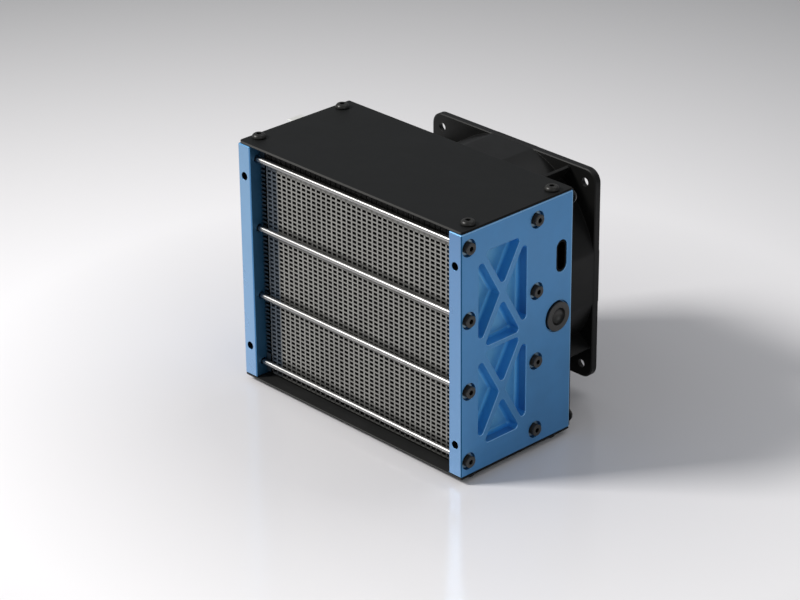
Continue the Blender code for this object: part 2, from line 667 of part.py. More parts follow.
def manifold_plate(name, inner_x, side):
    """The insulating plate inside an end plate; its collar lines the end plate's cable slot."""
    shape = bmesh.new()
    prism(shape, notched_outline(), 0, -side * MANIFOLD_THICKNESS, "X")
    place = (inner_x - side * FIT_GAP, FRONT_Y + CELL_FRONT, BASE_Z + CELL_END_CLEARANCE)
    plate = add_object(name, mesh_from(shape, name), "manifold", place)
    slot_centre = (SLOT_Y - CELL_FRONT, SLOT_HEIGHT - CELL_END_CLEARANCE)
    collar_end = FIT_GAP + PLATE_THICKNESS - COLLAR_BELOW_FACE
    collar = bmesh.new()
    outline = obround_outline(SLOT_WIDTH - 2 * FIT_GAP, SLOT_LENGTH - 2 * FIT_GAP, CORNER_STEPS * 2)
    prism(collar, outline, -side * MANIFOLD_THICKNESS / 2, side * collar_end, "X", slot_centre)
    combine(plate, collar, "UNION")
    cutter = bmesh.new()
    start = side * CUT_MARGIN
    end = -side * (MANIFOLD_THICKNESS + CUT_MARGIN)
    for y, z in rod_places():
        if y > CELL_FRONT:
            centre = (y - CELL_FRONT, z - CELL_END_CLEARANCE)
            blind_hole(cutter, ROD_HOLE_RADIUS, centre, start, end, "X")
    narrower = 2 * (FIT_GAP + COLLAR_WALL)
    slot = obround_outline(SLOT_WIDTH - narrower, SLOT_LENGTH - narrower, CORNER_STEPS * 2)
    prism(cutter, slot, side * (collar_end + CUT_MARGIN), end, "X", slot_centre)
    port_centre = (PORT_Y - CELL_FRONT, PORT_HEIGHT - CELL_END_CLEARANCE)
    stepped_cutter(cutter, [(PORT_BODY_RADIUS + FIT_GAP, start), (PORT_BODY_RADIUS + FIT_GAP, end)],
                   port_centre, "X", PORT_STEPS)
    combine(plate, cutter, "DIFFERENCE")


def current_collector(name, inner_x, side):
    """A thin plated plate against the end cell, with a drilled lug in the space behind the cells."""
    depth = CELL_BACK - CELL_FRONT - 2 * COLLECTOR_INSET
    height = CELL_HEIGHT - 2 * COLLECTOR_INSET
    lug_low = LUG_HEIGHT - LUG_WIDTH / 2
    lug_high = LUG_HEIGHT + LUG_WIDTH / 2
    outline = [(0, 0), (depth, 0), (depth, lug_low), (depth + LUG_LENGTH, lug_low),
               (depth + LUG_LENGTH, lug_high), (depth, lug_high), (depth, height), (0, height)]
    shape = bmesh.new()
    prism(shape, outline, 0, -side * COLLECTOR_THICKNESS, "X")
    place = (inner_x - side * (MANIFOLD_THICKNESS + 2 * FIT_GAP), FRONT_Y + CELL_FRONT + COLLECTOR_INSET,
             BASE_Z + CELL_END_CLEARANCE + COLLECTOR_INSET)
    plate = add_object(name, mesh_from(shape, name), "copper", place)
    cutter = bmesh.new()
    hole_centre = (depth + LUG_LENGTH - LUG_WIDTH / 2, LUG_HEIGHT)
    blind_hole(cutter, LUG_HOLE_RADIUS, hole_centre, side * CUT_MARGIN,
               -side * (COLLECTOR_THICKNESS + CUT_MARGIN), "X")
    combine(plate, cutter, "DIFFERENCE")


def tie_bolt_mesh():
    """A polished rod with a socket head; the head's bearing face is at height 0."""
    rod_end = COUNTERBORE_DEPTH - FIT_GAP - WASHER_THICKNESS - FIT_GAP
    length = STACK_LENGTH - rod_end + ROD_END_PROUD
    top = TIE_HEAD_HEIGHT
    round_rings = [(ROD_RADIUS, -length), (ROD_RADIUS, 0.0), (TIE_HEAD_RADIUS, 0.0),
                   (TIE_HEAD_RADIUS, top - TIE_HEAD_CHAMFER), (TIE_HEAD_RADIUS - TIE_HEAD_CHAMFER, top)]
    rings = [spread(ring_points(r, BORE_STEPS), z, "Z") for r, z in round_rings]
    socket = hex_points(TIE_SOCKET_ACROSS, BORE_STEPS)
    rings += [spread(socket, top, "Z"), spread(socket, top - TIE_SOCKET_DEPTH, "Z")]
    shape = bmesh.new()
    loft(shape, rings)
    return mesh_from(shape, "tie_bolt")


def washer_mesh():
    """A plain washer, resting at height 0."""
    inner = ROD_RADIUS + FIT_GAP
    profile = [(inner, 0), (WASHER_RADIUS, 0), (WASHER_RADIUS, WASHER_THICKNESS), (inner, WASHER_THICKNESS)]
    return mesh_from(turned(profile, HOLE_STEPS), "tie_washer")


def nut_mesh():
    """A hexagon nut, resting at height 0."""
    hexagon = ring_points(NUT_ACROSS / math.sqrt(3), 6)
    hole = ring_points(ROD_RADIUS + FIT_GAP, 6)
    rings = [(hexagon, 0), (hexagon, NUT_HEIGHT), (hole, NUT_HEIGHT), (hole, 0)]
    shape = bmesh.new()
    rows = [[shape.verts.new(p) for p in spread(ring, z, "Z")] for ring, z in rings]
    for row, following in zip(rows, rows[1:] + rows[:1]):
        for k in range(6):
            shape.faces.new((row[k], row[k - 5], following[k - 5], following[k]))
    return mesh_from(shape, "tie_nut")


def tie_hardware():
    """Eight tie bolts with their washers at the right and their nuts at the left."""
    bolt = tie_bolt_mesh()
    washer = washer_mesh()
    nut = nut_mesh()
    seat = RIGHT_X - COUNTERBORE_DEPTH + FIT_GAP
    head_seat = seat + WASHER_THICKNESS + FIT_GAP
    nut_seat = LEFT_X + COUNTERBORE_DEPTH - FIT_GAP
    for k, (y, z) in enumerate(rod_places(), start=1):
        place_y = FRONT_Y + y
        place_z = BASE_Z + z
        add_object(f"tie_bolt_{k}", bolt, "steel", (head_seat, place_y, place_z), TURN_TO_X)
        add_object(f"tie_washer_{k}", washer, "washer_steel", (seat, place_y, place_z), TURN_TO_X)
        add_object(f"tie_nut_{k}", nut, "black_steel", (nut_seat, place_y, place_z), TURN_TO_MINUS_X)


def button_screw_mesh(name, reach):
    """A button head screw; the head's bearing face is at height 0 and the shank points down."""
    shoulder = SCREW_HEAD_RADIUS * SCREW_SHOULDER_RATIO
    crown = SCREW_HEAD_RADIUS * SCREW_CROWN_RATIO
    profile = [(0, -reach), (SCREW_RADIUS, -reach), (SCREW_RADIUS, 0), (SCREW_HEAD_RADIUS, 0),
               (shoulder, SCREW_SHOULDER_HEIGHT), (crown, SCREW_HEAD_HEIGHT), (0, SCREW_HEAD_HEIGHT)]
    return mesh_from(turned(profile, HOLE_STEPS), name)


def cover_screws():
    """Four screws in each cover; the stack stands on the heads of the lower four."""
    reach = COVER_SCREW_REACH + COVER_THICKNESS + FIT_GAP
    screw = button_screw_mesh("cover_screw", reach)
    xs = (LEFT_X + COVER_SCREW_FROM_FACE, RIGHT_X - COVER_SCREW_FROM_FACE)
    ys = (FRONT_Y + COVER_SCREW_END_MARGIN, FRONT_Y + PLATE_DEPTH - COVER_SCREW_END_MARGIN)
    top = TOP_Z + FIT_GAP + COVER_THICKNESS + FIT_GAP
    for k, (x, y) in enumerate([(x, y) for x in xs for y in ys], start=1):
        add_object(f"top_cover_screw_{k}", screw, "black_steel", (x, y, top))
        add_object(f"bottom_cover_screw_{k}", screw, "black_steel", (x, y, SCREW_HEAD_HEIGHT), TURN_TO_DOWN)


def panel_screws():
    """Four screws that hold the rear panel to the end plates."""
    screw = button_screw_mesh("panel_screw", PANEL_SCREW_REACH + PANEL_THICKNESS + FIT_GAP)
    y = FRONT_Y + PANEL_OFFSET + PANEL_THICKNESS + FIT_GAP
    xs = (LEFT_X + PANEL_SCREW_FROM_FACE, RIGHT_X - PANEL_SCREW_FROM_FACE)
    zs = (BASE_Z + PANEL_SCREW_END_MARGIN, TOP_Z - PANEL_SCREW_END_MARGIN)
    for k, (x, z) in enumerate([(x, z) for x in xs for z in zs], start=1):
        add_object(f"panel_screw_{k}", screw, "black_steel", (x, y, z), TURN_TO_Y)


def fan_screws():
    """Four screws through the fan's near flange into the rear panel."""
    screw = button_screw_mesh("fan_screw", FAN_SCREW_REACH)
    y = FAN_Y + FAN_FLANGE + FIT_GAP
    for k, (x, z) in enumerate(fan_hole_places(), start=1):
        add_object(f"fan_screw_{k}", screw, "black_steel", (FAN_X + x, y, FAN_Z + z), TURN_TO_Y)


def gas_port_mesh():
    """A black port fitting with a flange and a dished, closed end; its bearing face is at height 0."""
    top = PORT_FLANGE_THICKNESS
    body_end = -(PLATE_THICKNESS - PORT_FLANGE_THICKNESS - FIT_GAP + PORT_PROUD + MANIFOLD_THICKNESS)
    profile = [(0, body_end), (PORT_BODY_RADIUS, body_end), (PORT_BODY_RADIUS, 0), (PORT_FLANGE_RADIUS, 0),
               (PORT_FLANGE_RADIUS, top - PORT_BEVEL), (PORT_FLANGE_RADIUS - PORT_BEVEL, top),
               (PORT_DISH_RADIUS, top)]
    for share in PORT_DISH_RINGS:
        fall = PORT_DISH_DEPTH * math.sqrt(1 - share * share)
        profile.append((PORT_DISH_RADIUS * share, top - fall))
    profile.append((0, top - PORT_DISH_DEPTH))
    return mesh_from(turned(profile, PORT_STEPS), "gas_port")


def gas_ports():
    """One port in each end plate."""
    port = gas_port_mesh()
    lift = PORT_PROUD - PORT_FLANGE_THICKNESS
    y = FRONT_Y + PORT_Y
    z = BASE_Z + PORT_HEIGHT
    add_object("right_gas_port", port, "port", (RIGHT_X + lift, y, z), TURN_TO_X)
    add_object("left_gas_port", port, "port", (LEFT_X - lift, y, z), TURN_TO_MINUS_X)


def connector():
    """A small light grey header on the left end plate, open at the bottom, and its two pins."""
    shape = bmesh.new()
    half = CONNECTOR_WIDTH / 2
    prism(shape, box_outline(-CONNECTOR_DEPTH, 0, -half, half), 0, CONNECTOR_HEIGHT, "Z")
    top_edges = [e for e in shape.edges if all(v.co.z > CONNECTOR_HEIGHT / 2 for v in e.verts)]
    bmesh.ops.bevel(shape, geom=top_edges, offset=CONNECTOR_WALL / 2, segments=1, affect="EDGES")
    place_y = FRONT_Y + ROD_REAR_Y - CONNECTOR_FROM_REAR_ROD
    place = (LEFT_X - FIT_GAP, place_y, TOP_Z + CONNECTOR_RISE - CONNECTOR_HEIGHT)
    header = add_object("connector", mesh_from(shape, "connector"), "connector", place)
    cavity = bmesh.new()
    roof = CONNECTOR_HEIGHT - CONNECTOR_FLOOR
    inner = box_outline(CONNECTOR_WALL - CONNECTOR_DEPTH, -CONNECTOR_WALL,
                        CONNECTOR_WALL - half, half - CONNECTOR_WALL)
    prism(cavity, inner, -CUT_MARGIN, roof, "Z")
    combine(header, cavity, "DIFFERENCE")
    sockets = bmesh.new()
    wide = PIN_WIDTH / 2
    socket = wide + FIT_GAP
    socket_outline = box_outline(-socket, socket, -socket, socket)
    pin = bmesh.new()
    prism(pin, box_outline(-wide, wide, -wide, wide), roof - PIN_LENGTH, roof + PIN_HOLD - FIT_GAP, "Z")
    pin_mesh = mesh_from(pin, "connector_pin")
    for k, y in enumerate((-PIN_SPACING / 2, PIN_SPACING / 2), start=1):
        shift = (-CONNECTOR_DEPTH / 2, y)
        prism(sockets, socket_outline, roof - CUT_MARGIN, roof + PIN_HOLD, "Z", shift)
        add_object(f"connector_pin_{k}", pin_mesh, "steel", (place[0] + shift[0], place[1] + y, place[2]))
    combine(header, sockets, "DIFFERENCE")


def fan_square():
    """The fan's square outline with round corners."""
    half = FAN_SIZE / 2
    return rounded_outline(box_outline(-half, half, -half, half), FAN_CORNER)


def fan_body_outline():
    """The round body between the flanges, cut flat where it would pass the frame's sides."""
    half = FAN_SIZE / 2
    flat = math.acos(half / max(half, FAN_BODY_RADIUS))
    steps = FINE_STEPS // 4 - 3
    corners = steps + 1 if flat > 0 else steps
    outline = []
    for quarter in range(4):
        start = quarter * math.pi / 2 + flat
        sweep = math.pi / 2 - 2 * flat
        for k in range(corners):
            angle = start + sweep * k / steps
            outline.append((FAN_BODY_RADIUS * math.cos(angle), FAN_BODY_RADIUS * math.sin(angle)))
    return outline


def tilted_bar(angle, near, far, width, offset=0.0):
    """The outline of a bar that points away from the axis at an angle."""
    along = Vector((math.cos(angle), math.sin(angle)))
    across = Vector((-along.y, along.x))
    corners = []
    for reach, side in ((near, -1), (far, -1), (far, 1), (near, 1)):
        corners.append(tuple(along * reach + across * (offset + side * width / 2)))
    return corners


def fan_frame_solid():
    """The frame's flanges and body, with one web at each corner that braces them."""
    shape = bmesh.new()
    prism(shape, fan_square(), 0, FAN_FLANGE, "Y")
    frame = add_object("fan_frame", mesh_from(shape, "fan_frame"), "fan", (FAN_X, FAN_Y, FAN_Z))
    flange = bmesh.new()
    prism(flange, fan_square(), FAN_DEPTH - FAN_FLANGE, FAN_DEPTH, "Y")
    combine(frame, flange, "UNION")
    body = bmesh.new()
    inset = FAN_FLANGE / 2
    prism(body, fan_body_outline(), inset, FAN_DEPTH - inset, "Y")
    combine(frame, body, "UNION")
    webs = bmesh.new()
    inner = (FAN_BORE_RADIUS + FAN_BODY_RADIUS) / 2
    for corner in range(4):
        angle = math.radians(45) + corner * math.pi / 2 + FAN_WEB_ANGLE
        outline = tilted_bar(angle, inner, FAN_BODY_RADIUS + FAN_WEB_REACH, FAN_WEB_THICKNESS)
        prism(webs, outline, inset, FAN_DEPTH - inset, "Y")
    combine(frame, webs, "UNION")
    return frame


def cut_fan_bore(frame):
    """The flared bore and the flanges' screw holes; those of the far flange are recessed behind."""
    flare = FAN_BORE_RADIUS + FAN_MOUTH_FLARE
    bore = bmesh.new()
    profile = [(flare, -CUT_MARGIN), (flare, 0), (FAN_BORE_RADIUS, FAN_MOUTH_DEPTH),
               (FAN_BORE_RADIUS, FAN_DEPTH - FAN_MOUTH_DEPTH), (flare, FAN_DEPTH),
               (flare, FAN_DEPTH + CUT_MARGIN)]
    stepped_cutter(bore, profile, (0, 0), "Y", FINE_STEPS)
    face = FAN_DEPTH - FAN_FLANGE
    recessed = [(FAN_HOLE_RADIUS, face - CUT_MARGIN), (FAN_HOLE_RADIUS, face + FAN_HOLE_LAND),
                (FAN_RECESS_RADIUS, face + FAN_HOLE_LAND), (FAN_RECESS_RADIUS, FAN_DEPTH + CUT_MARGIN)]
    for centre in fan_hole_places():
        blind_hole(bore, SCREW_HOLE_RADIUS, centre, -CUT_MARGIN, FAN_FLANGE + CUT_MARGIN, "Y")
        stepped_cutter(bore, recessed, centre, "Y", HOLE_STEPS)
    combine(frame, bore, "DIFFERENCE")


def fan_motor_base(frame):
    """The struts, the round motor base and the bearing tube on it."""
    socket = BEARING_RADIUS + FIT_GAP
    tube_radius = socket + BEARING_TUBE_WALL
    tube_front = MOTOR_BASE_FRONT - BEARING_LENGTH
    profile = [(0, MOTOR_BASE_FRONT + FIT_GAP), (socket, MOTOR_BASE_FRONT + FIT_GAP), (socket, tube_front),
               (tube_radius, tube_front), (tube_radius, MOTOR_BASE_FRONT), (HUB_RADIUS, MOTOR_BASE_FRONT),
               (HUB_RADIUS, FAN_DEPTH), (0, FAN_DEPTH)]
    base = turned(profile, HUB_STEPS)
    bmesh.ops.rotate(base, verts=base.verts, cent=(0, 0, 0), matrix=TURN_TO_Y.to_matrix())
    struts = bmesh.new()
    strut_front = FAN_DEPTH - FAN_STRUT_DEPTH
    for k in range(FAN_STRUTS):
        angle = math.radians(45) + 2 * math.pi * k / FAN_STRUTS
        outline = tilted_bar(angle, HUB_RADIUS / 2, (FAN_BORE_RADIUS + FAN_BODY_RADIUS) / 2,
                             FAN_STRUT_WIDTH, FAN_STRUT_OFFSET)
        prism(struts, outline, strut_front, FAN_DEPTH - FIT_GAP, "Y")
    combine(frame, struts, "UNION")
    combine(frame, base, "UNION")


def blade(shape, turn):
    """One curved fan blade, lofted from root to tip."""
    root = HUB_RADIUS - HUB_WALL / 2
    tip = FAN_BORE_RADIUS - FAN_TIP_GAP
    front = HUB_FRONT + BLADE_EDGE_MARGIN
    span = MOTOR_BASE_FRONT - HUB_GAP - BLADE_EDGE_MARGIN - front
    half = BLADE_AXIAL_THICKNESS / 2
    stations = BLADE_STATIONS
    radii = BLADE_RADII
    upper = []
    lower = []
    for i in range(radii):
        share = i / (radii - 1)
        radius = root + (tip - root) * share
        sweep = BLADE_ROOT_SWEEP + (BLADE_TIP_SWEEP - BLADE_ROOT_SWEEP) * share
        upper_row = []
        lower_row = []
        for j in range(stations + 1):
            s = j / stations
            angle = turn + sweep * s * (1 - BLADE_CAMBER + BLADE_CAMBER * s)
            x = radius * math.cos(angle)
            z = radius * math.sin(angle)
            y = front + half + (span - 2 * half) * s
            upper_row.append(shape.verts.new((x, y - half, z)))
            lower_row.append(shape.verts.new((x, y + half, z)))
        upper.append(upper_row)
        lower.append(lower_row)
    for i in range(radii - 1):
        for j in range(stations):
            for side in (upper, lower):
                shape.faces.new((side[i][j], side[i][j + 1], side[i + 1][j + 1], side[i + 1][j]))
        for j in (0, stations):
            shape.faces.new((upper[i][j], lower[i][j], lower[i + 1][j], upper[i + 1][j]))
    for i in (0, radii - 1):
        for j in range(stations):
            shape.faces.new((upper[i][j], upper[i][j + 1], lower[i][j + 1], lower[i][j]))


def fan_impeller():
    """The hub cup with its boss, and seven blades."""
    inner = HUB_RADIUS - HUB_WALL
    cap = HUB_CAP_BACK
    end = MOTOR_BASE_FRONT - HUB_GAP
    bore = SHAFT_RADIUS + FIT_GAP
    boss_end = cap + HUB_BOSS_LENGTH
    profile = [(0, HUB_FRONT), (HUB_RADIUS - HUB_EDGE_ROUND, HUB_FRONT),
               (HUB_RADIUS, HUB_FRONT + HUB_EDGE_ROUND), (HUB_RADIUS, end), (inner, end), (inner, cap),
               (HUB_BOSS_RADIUS, cap), (HUB_BOSS_RADIUS, boss_end), (bore, boss_end), (bore, cap), (0, cap)]
    hub = turned(profile, HUB_STEPS)
    bmesh.ops.rotate(hub, verts=hub.verts, cent=(0, 0, 0), matrix=TURN_TO_Y.to_matrix())
    impeller = add_object("fan_impeller", mesh_from(hub, "fan_impeller"), "fan", (FAN_X, FAN_Y, FAN_Z))
    blades = bmesh.new()
    for k in range(FAN_BLADES):
        blade(blades, 2 * math.pi * k / FAN_BLADES)
    combine(impeller, blades, "UNION")


def fan_motor():
    """The shaft and its bearing."""
    front = HUB_CAP_BACK + FIT_GAP
    back = MOTOR_BASE_FRONT
    shaft_profile = [(0, front), (SHAFT_RADIUS, front), (SHAFT_RADIUS, back), (0, back)]
    shaft = mesh_from(turned(shaft_profile, BORE_STEPS), "fan_shaft")
    add_object("fan_shaft", shaft, "steel", (FAN_X, FAN_Y, FAN_Z), TURN_TO_Y)
    bearing_front = back - BEARING_LENGTH + FIT_GAP
    profile = [(SHAFT_RADIUS + FIT_GAP, bearing_front), (BEARING_RADIUS, bearing_front),
               (BEARING_RADIUS, back), (SHAFT_RADIUS + FIT_GAP, back)]
    bearing = mesh_from(turned(profile, BORE_STEPS), "fan_bearing")
    add_object("fan_bearing", bearing, "bronze", (FAN_X, FAN_Y, FAN_Z), TURN_TO_Y)


def fan_gasket():
    """The rubber gasket between the rear panel and the fan."""
    shape = bmesh.new()
    prism(shape, fan_square(), 0, FAN_GASKET, "Y")
    place = (FAN_X, FRONT_Y + GASKET_OFFSET, FAN_Z)
    gasket = add_object("fan_gasket", mesh_from(shape, "fan_gasket"), "rubber", place)
    cutter = bmesh.new()
    prism(cutter, ring_points(FAN_BORE_RADIUS, FINE_STEPS), -CUT_MARGIN, FAN_GASKET + CUT_MARGIN, "Y")
    for centre in fan_hole_places():
        blind_hole(cutter, SCREW_HOLE_RADIUS, centre, -CUT_MARGIN, FAN_GASKET + CUT_MARGIN, "Y")
    combine(gasket, cutter, "DIFFERENCE")


def fan():
    """The fan with its frame, motor, impeller, gasket and screws."""
    frame = fan_frame_solid()
    cut_fan_bore(frame)
    fan_motor_base(frame)
    fan_impeller()
    fan_motor()
    fan_gasket()
    fan_screws()


def build():
    clear_scene()
    left_inner = LEFT_X + PLATE_THICKNESS
    right_inner = RIGHT_X - PLATE_THICKNESS
    end_plate("left_end_plate", LEFT_X, -1)
    end_plate("right_end_plate", RIGHT_X, 1)
    cover("top_cover", TOP_Z + FIT_GAP)
    cover("bottom_cover", SCREW_HEAD_HEIGHT + FIT_GAP)
    rear_panel()
    cell_stack()
    manifold_plate("left_manifold_plate", left_inner, -1)
    manifold_plate("right_manifold_plate", right_inner, 1)
    current_collector("left_current_collector", left_inner, -1)
    current_collector("right_current_collector", right_inner, 1)
    tie_hardware()
    cover_screws()
    panel_screws()
    gas_ports()
    connector()
    fan()


build()
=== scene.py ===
"""Looks for the air-cooled fuel cell stack: finer shapes, materials, floor, light and camera."""

import math

import bmesh
import bpy
from mathutils import Matrix, Vector


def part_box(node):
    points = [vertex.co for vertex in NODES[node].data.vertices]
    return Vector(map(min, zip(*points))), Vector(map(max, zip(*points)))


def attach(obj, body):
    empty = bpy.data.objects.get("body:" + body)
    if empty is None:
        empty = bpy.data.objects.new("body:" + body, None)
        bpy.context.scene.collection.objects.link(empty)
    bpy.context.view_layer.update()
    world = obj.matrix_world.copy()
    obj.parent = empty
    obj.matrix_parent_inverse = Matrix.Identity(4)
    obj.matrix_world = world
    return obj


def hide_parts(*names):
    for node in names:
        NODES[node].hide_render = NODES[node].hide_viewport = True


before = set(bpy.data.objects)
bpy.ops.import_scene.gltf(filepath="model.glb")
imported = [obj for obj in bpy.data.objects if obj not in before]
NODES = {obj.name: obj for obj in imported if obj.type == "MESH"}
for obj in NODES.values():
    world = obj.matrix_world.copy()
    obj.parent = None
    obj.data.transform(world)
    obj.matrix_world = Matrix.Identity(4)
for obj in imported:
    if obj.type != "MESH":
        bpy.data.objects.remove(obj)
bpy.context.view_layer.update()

MM = 0.001
PLATE_LOW, PLATE_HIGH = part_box("right_end_plate")
LEFT_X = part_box("left_end_plate")[0].x
FAN_LOW, FAN_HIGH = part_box("fan_frame")
FAN_DEPTH = FAN_HIGH.y - FAN_LOW.y
FAN_PLACE = ((FAN_LOW.x + FAN_HIGH.x) / 2, FAN_LOW.y, (FAN_LOW.z + FAN_HIGH.z) / 2)
BOLT_ROWS = [(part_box(f"tie_bolt_{k}")[0].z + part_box(f"tie_bolt_{k}")[1].z) / 2
             for k in range(1, 5)]


# Shapes

def link(name, data):
    """A new object in the scene."""
    piece = bpy.data.objects.new(name, data)
    bpy.context.scene.collection.objects.link(piece)
    return piece


def centre_of(node):
    """The middle of a CAD node's box, and the box's low and high corners."""
    low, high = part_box(node)
    return (low + high) / 2, low, high


def to_mesh(shape, name, angle=35):
    """Closes a bmesh into a mesh, smooth where the faces meet at a shallow angle."""
    bmesh.ops.recalc_face_normals(shape, faces=shape.faces)
    mesh = bpy.data.meshes.new(name)
    shape.to_mesh(mesh)
    shape.free()
    mesh.shade_smooth()
    mesh.set_sharp_from_angle(angle=math.radians(angle))
    return mesh


def weld(shape):
    """Joins the points of a bmesh that lie in one place."""
    bmesh.ops.remove_doubles(shape, verts=shape.verts, dist=1e-7)


def circle(radius, steps):
    return [(radius * math.cos(2 * math.pi * k / steps), radius * math.sin(2 * math.pi * k / steps))
            for k in range(steps)]


def hexagon(across, steps):
    """Points round a hexagon, as many as the circles beside it have."""
    points = []
    for k in range(steps):
        angle = 2 * math.pi * k / steps
        from_flat = (angle + math.pi / 6) % (math.pi / 3) - math.pi / 6
        reach = across / 2 / math.cos(from_flat)
        points.append((reach * math.cos(angle), reach * math.sin(angle)))
    return points


def quarter(steps, first=0):
    """Angles in even steps up to a right angle."""
    return [k / steps * math.pi / 2 for k in range(first, steps + 1)]


def level(points, z):
    """A ring at a height."""
    return [(u, v, z) for u, v in points]


def upright(points, y):
    """A ring that faces along Y, as the fan does."""
    return [(u, y, v) for u, v in points]


def loft(shape, rings, slot=0, close=True):
    """Joins rings of as many points each; the first and the last are closed with a face."""
    rows = [[shape.verts.new(p) for p in ring] for ring in rings]
    count = len(rows[0])
    made = []
    for lower, upper in zip(rows, rows[1:]):
        for k in range(count):
            after = (k + 1) % count
            made.append(shape.faces.new((lower[k], lower[after], upper[after], upper[k])))
    if close:
        made.append(shape.faces.new(rows[0][::-1]))
        made.append(shape.faces.new(rows[-1]))
    for face in made:
        face.material_index = slot


def block(shape, low, high, slot=0):
    """A plain box inside a larger piece."""
    x0, y0, z0 = low
    x1, y1, z1 = high
    v = [shape.verts.new(p) for p in ((x0, y0, z0), (x1, y0, z0), (x1, y1, z0), (x0, y1, z0),
                                      (x0, y0, z1), (x1, y0, z1), (x1, y1, z1), (x0, y1, z1))]
    for ids in ((0, 3, 2, 1), (4, 5, 6, 7), (0, 1, 5, 4), (1, 2, 6, 5), (2, 3, 7, 6), (3, 0, 4, 7)):
        shape.faces.new([v[i] for i in ids]).material_index = slot


def carve(piece, cutter, angle, crossing=False):
    """Cuts the cutter out of the piece for good; crossing says that the piece is made of crossing solids."""
    change = piece.modifiers.new("holes", "BOOLEAN")
    change.operation = "DIFFERENCE"
    change.solver = "EXACT"
    change.use_self = crossing
    change.object = cutter
    bpy.context.view_layer.update()
    done = bpy.data.meshes.new_from_object(piece.evaluated_get(bpy.context.evaluated_depsgraph_get()))
    piece.modifiers.clear()
    piece.data = done
    bpy.data.objects.remove(cutter)
    done.shade_smooth()
    done.set_sharp_from_angle(angle=math.radians(angle))


# Material nodes

def nodes_of(name):
    made = bpy.data.materials.new(name)
    made.use_nodes = True
    tree = made.node_tree
    return made, tree, tree.nodes["Principled BSDF"]


def noise(tree, scale, detail, stretch=None):
    """Noise in the piece's own coordinates, in repeats per metre."""
    coords = tree.nodes.new("ShaderNodeTexCoord")
    texture = tree.nodes.new("ShaderNodeTexNoise")
    texture.inputs["Scale"].default_value = scale
    texture.inputs["Detail"].default_value = detail
    source = coords.outputs["Object"]
    if stretch:
        mapping = tree.nodes.new("ShaderNodeMapping")
        mapping.inputs["Scale"].default_value = stretch
        tree.links.new(source, mapping.inputs["Vector"])
        source = mapping.outputs["Vector"]
    tree.links.new(source, texture.inputs["Vector"])
    return texture.outputs["Fac"]


def remap(tree, source, low, high, start=0.3, end=0.7):
    """Goes from low to high while the source goes from start to end."""
    node = tree.nodes.new("ShaderNodeMapRange")
    node.inputs["From Min"].default_value = start
    node.inputs["From Max"].default_value = end
    node.inputs["To Min"].default_value = low
    node.inputs["To Max"].default_value = high
    tree.links.new(source, node.inputs["Value"])
    return node.outputs["Result"]


def calculate(tree, operation, first, second):
    node = tree.nodes.new("ShaderNodeMath")
    node.operation = operation
    for socket, value in zip(node.inputs, (first, second)):
        if isinstance(value, (int, float)):
            socket.default_value = value
        else:
            tree.links.new(value, socket)
    return node.outputs[0]


def place_along(tree, axis, offset=0.0):
    """How far along an axis of the frame a point of the piece lies; offset is the piece's own origin."""
    coords = tree.nodes.new("ShaderNodeTexCoord")
    split = tree.nodes.new("ShaderNodeSeparateXYZ")
    tree.links.new(coords.outputs["Object"], split.inputs[0])
    return calculate(tree, "ADD", split.outputs[axis], offset)


def faces_along(tree, axis, sign=0.0):
    """One on faces turned along the axis: both ways, or, with a sign, only that way."""
    coords = tree.nodes.new("ShaderNodeTexCoord")
    split = tree.nodes.new("ShaderNodeSeparateXYZ")
    tree.links.new(coords.outputs["Normal"], split.inputs[0])
    if sign:
        turned = calculate(tree, "MULTIPLY", split.outputs[axis], sign)
    else:
        turned = calculate(tree, "ABSOLUTE", split.outputs[axis], 0.0)
    return remap(tree, turned, 0.0, 1.0, start=0.5, end=0.8)


def near_band(tree, place, low, high, soft):
    """One between low and high, falling to zero over the soft width outside."""
    rising = remap(tree, place, 0.0, 1.0, low - soft, low)
    falling = remap(tree, place, 1.0, 0.0, high, high + soft)
    return calculate(tree, "MULTIPLY", rising, falling)


def blend_colours(tree, factor, first, second):
    """A colour that goes from the first to the second with the factor."""
    mix = tree.nodes.new("ShaderNodeMix")
    mix.data_type = "RGBA"
    for socket, value in ((mix.inputs[6], first), (mix.inputs[7], second)):
        if isinstance(value, tuple):
            socket.default_value = (*value, 1.0)
        else:
            tree.links.new(value, socket)
    tree.links.new(factor, mix.inputs["Factor"])
    return mix.outputs[2]


def worn_and_highlit_edges(tree, soft_normal):
    """One where the softened normal leaves the face's own, which is along the edges."""
    geometry = tree.nodes.new("ShaderNodeNewGeometry")
    dot = tree.nodes.new("ShaderNodeVectorMath")
    dot.operation = "DOT_PRODUCT"
    tree.links.new(soft_normal, dot.inputs[0])
    tree.links.new(geometry.outputs["Normal"], dot.inputs[1])
    return remap(tree, dot.outputs["Value"], 1.0, 0.0, start=0.86, end=0.995)


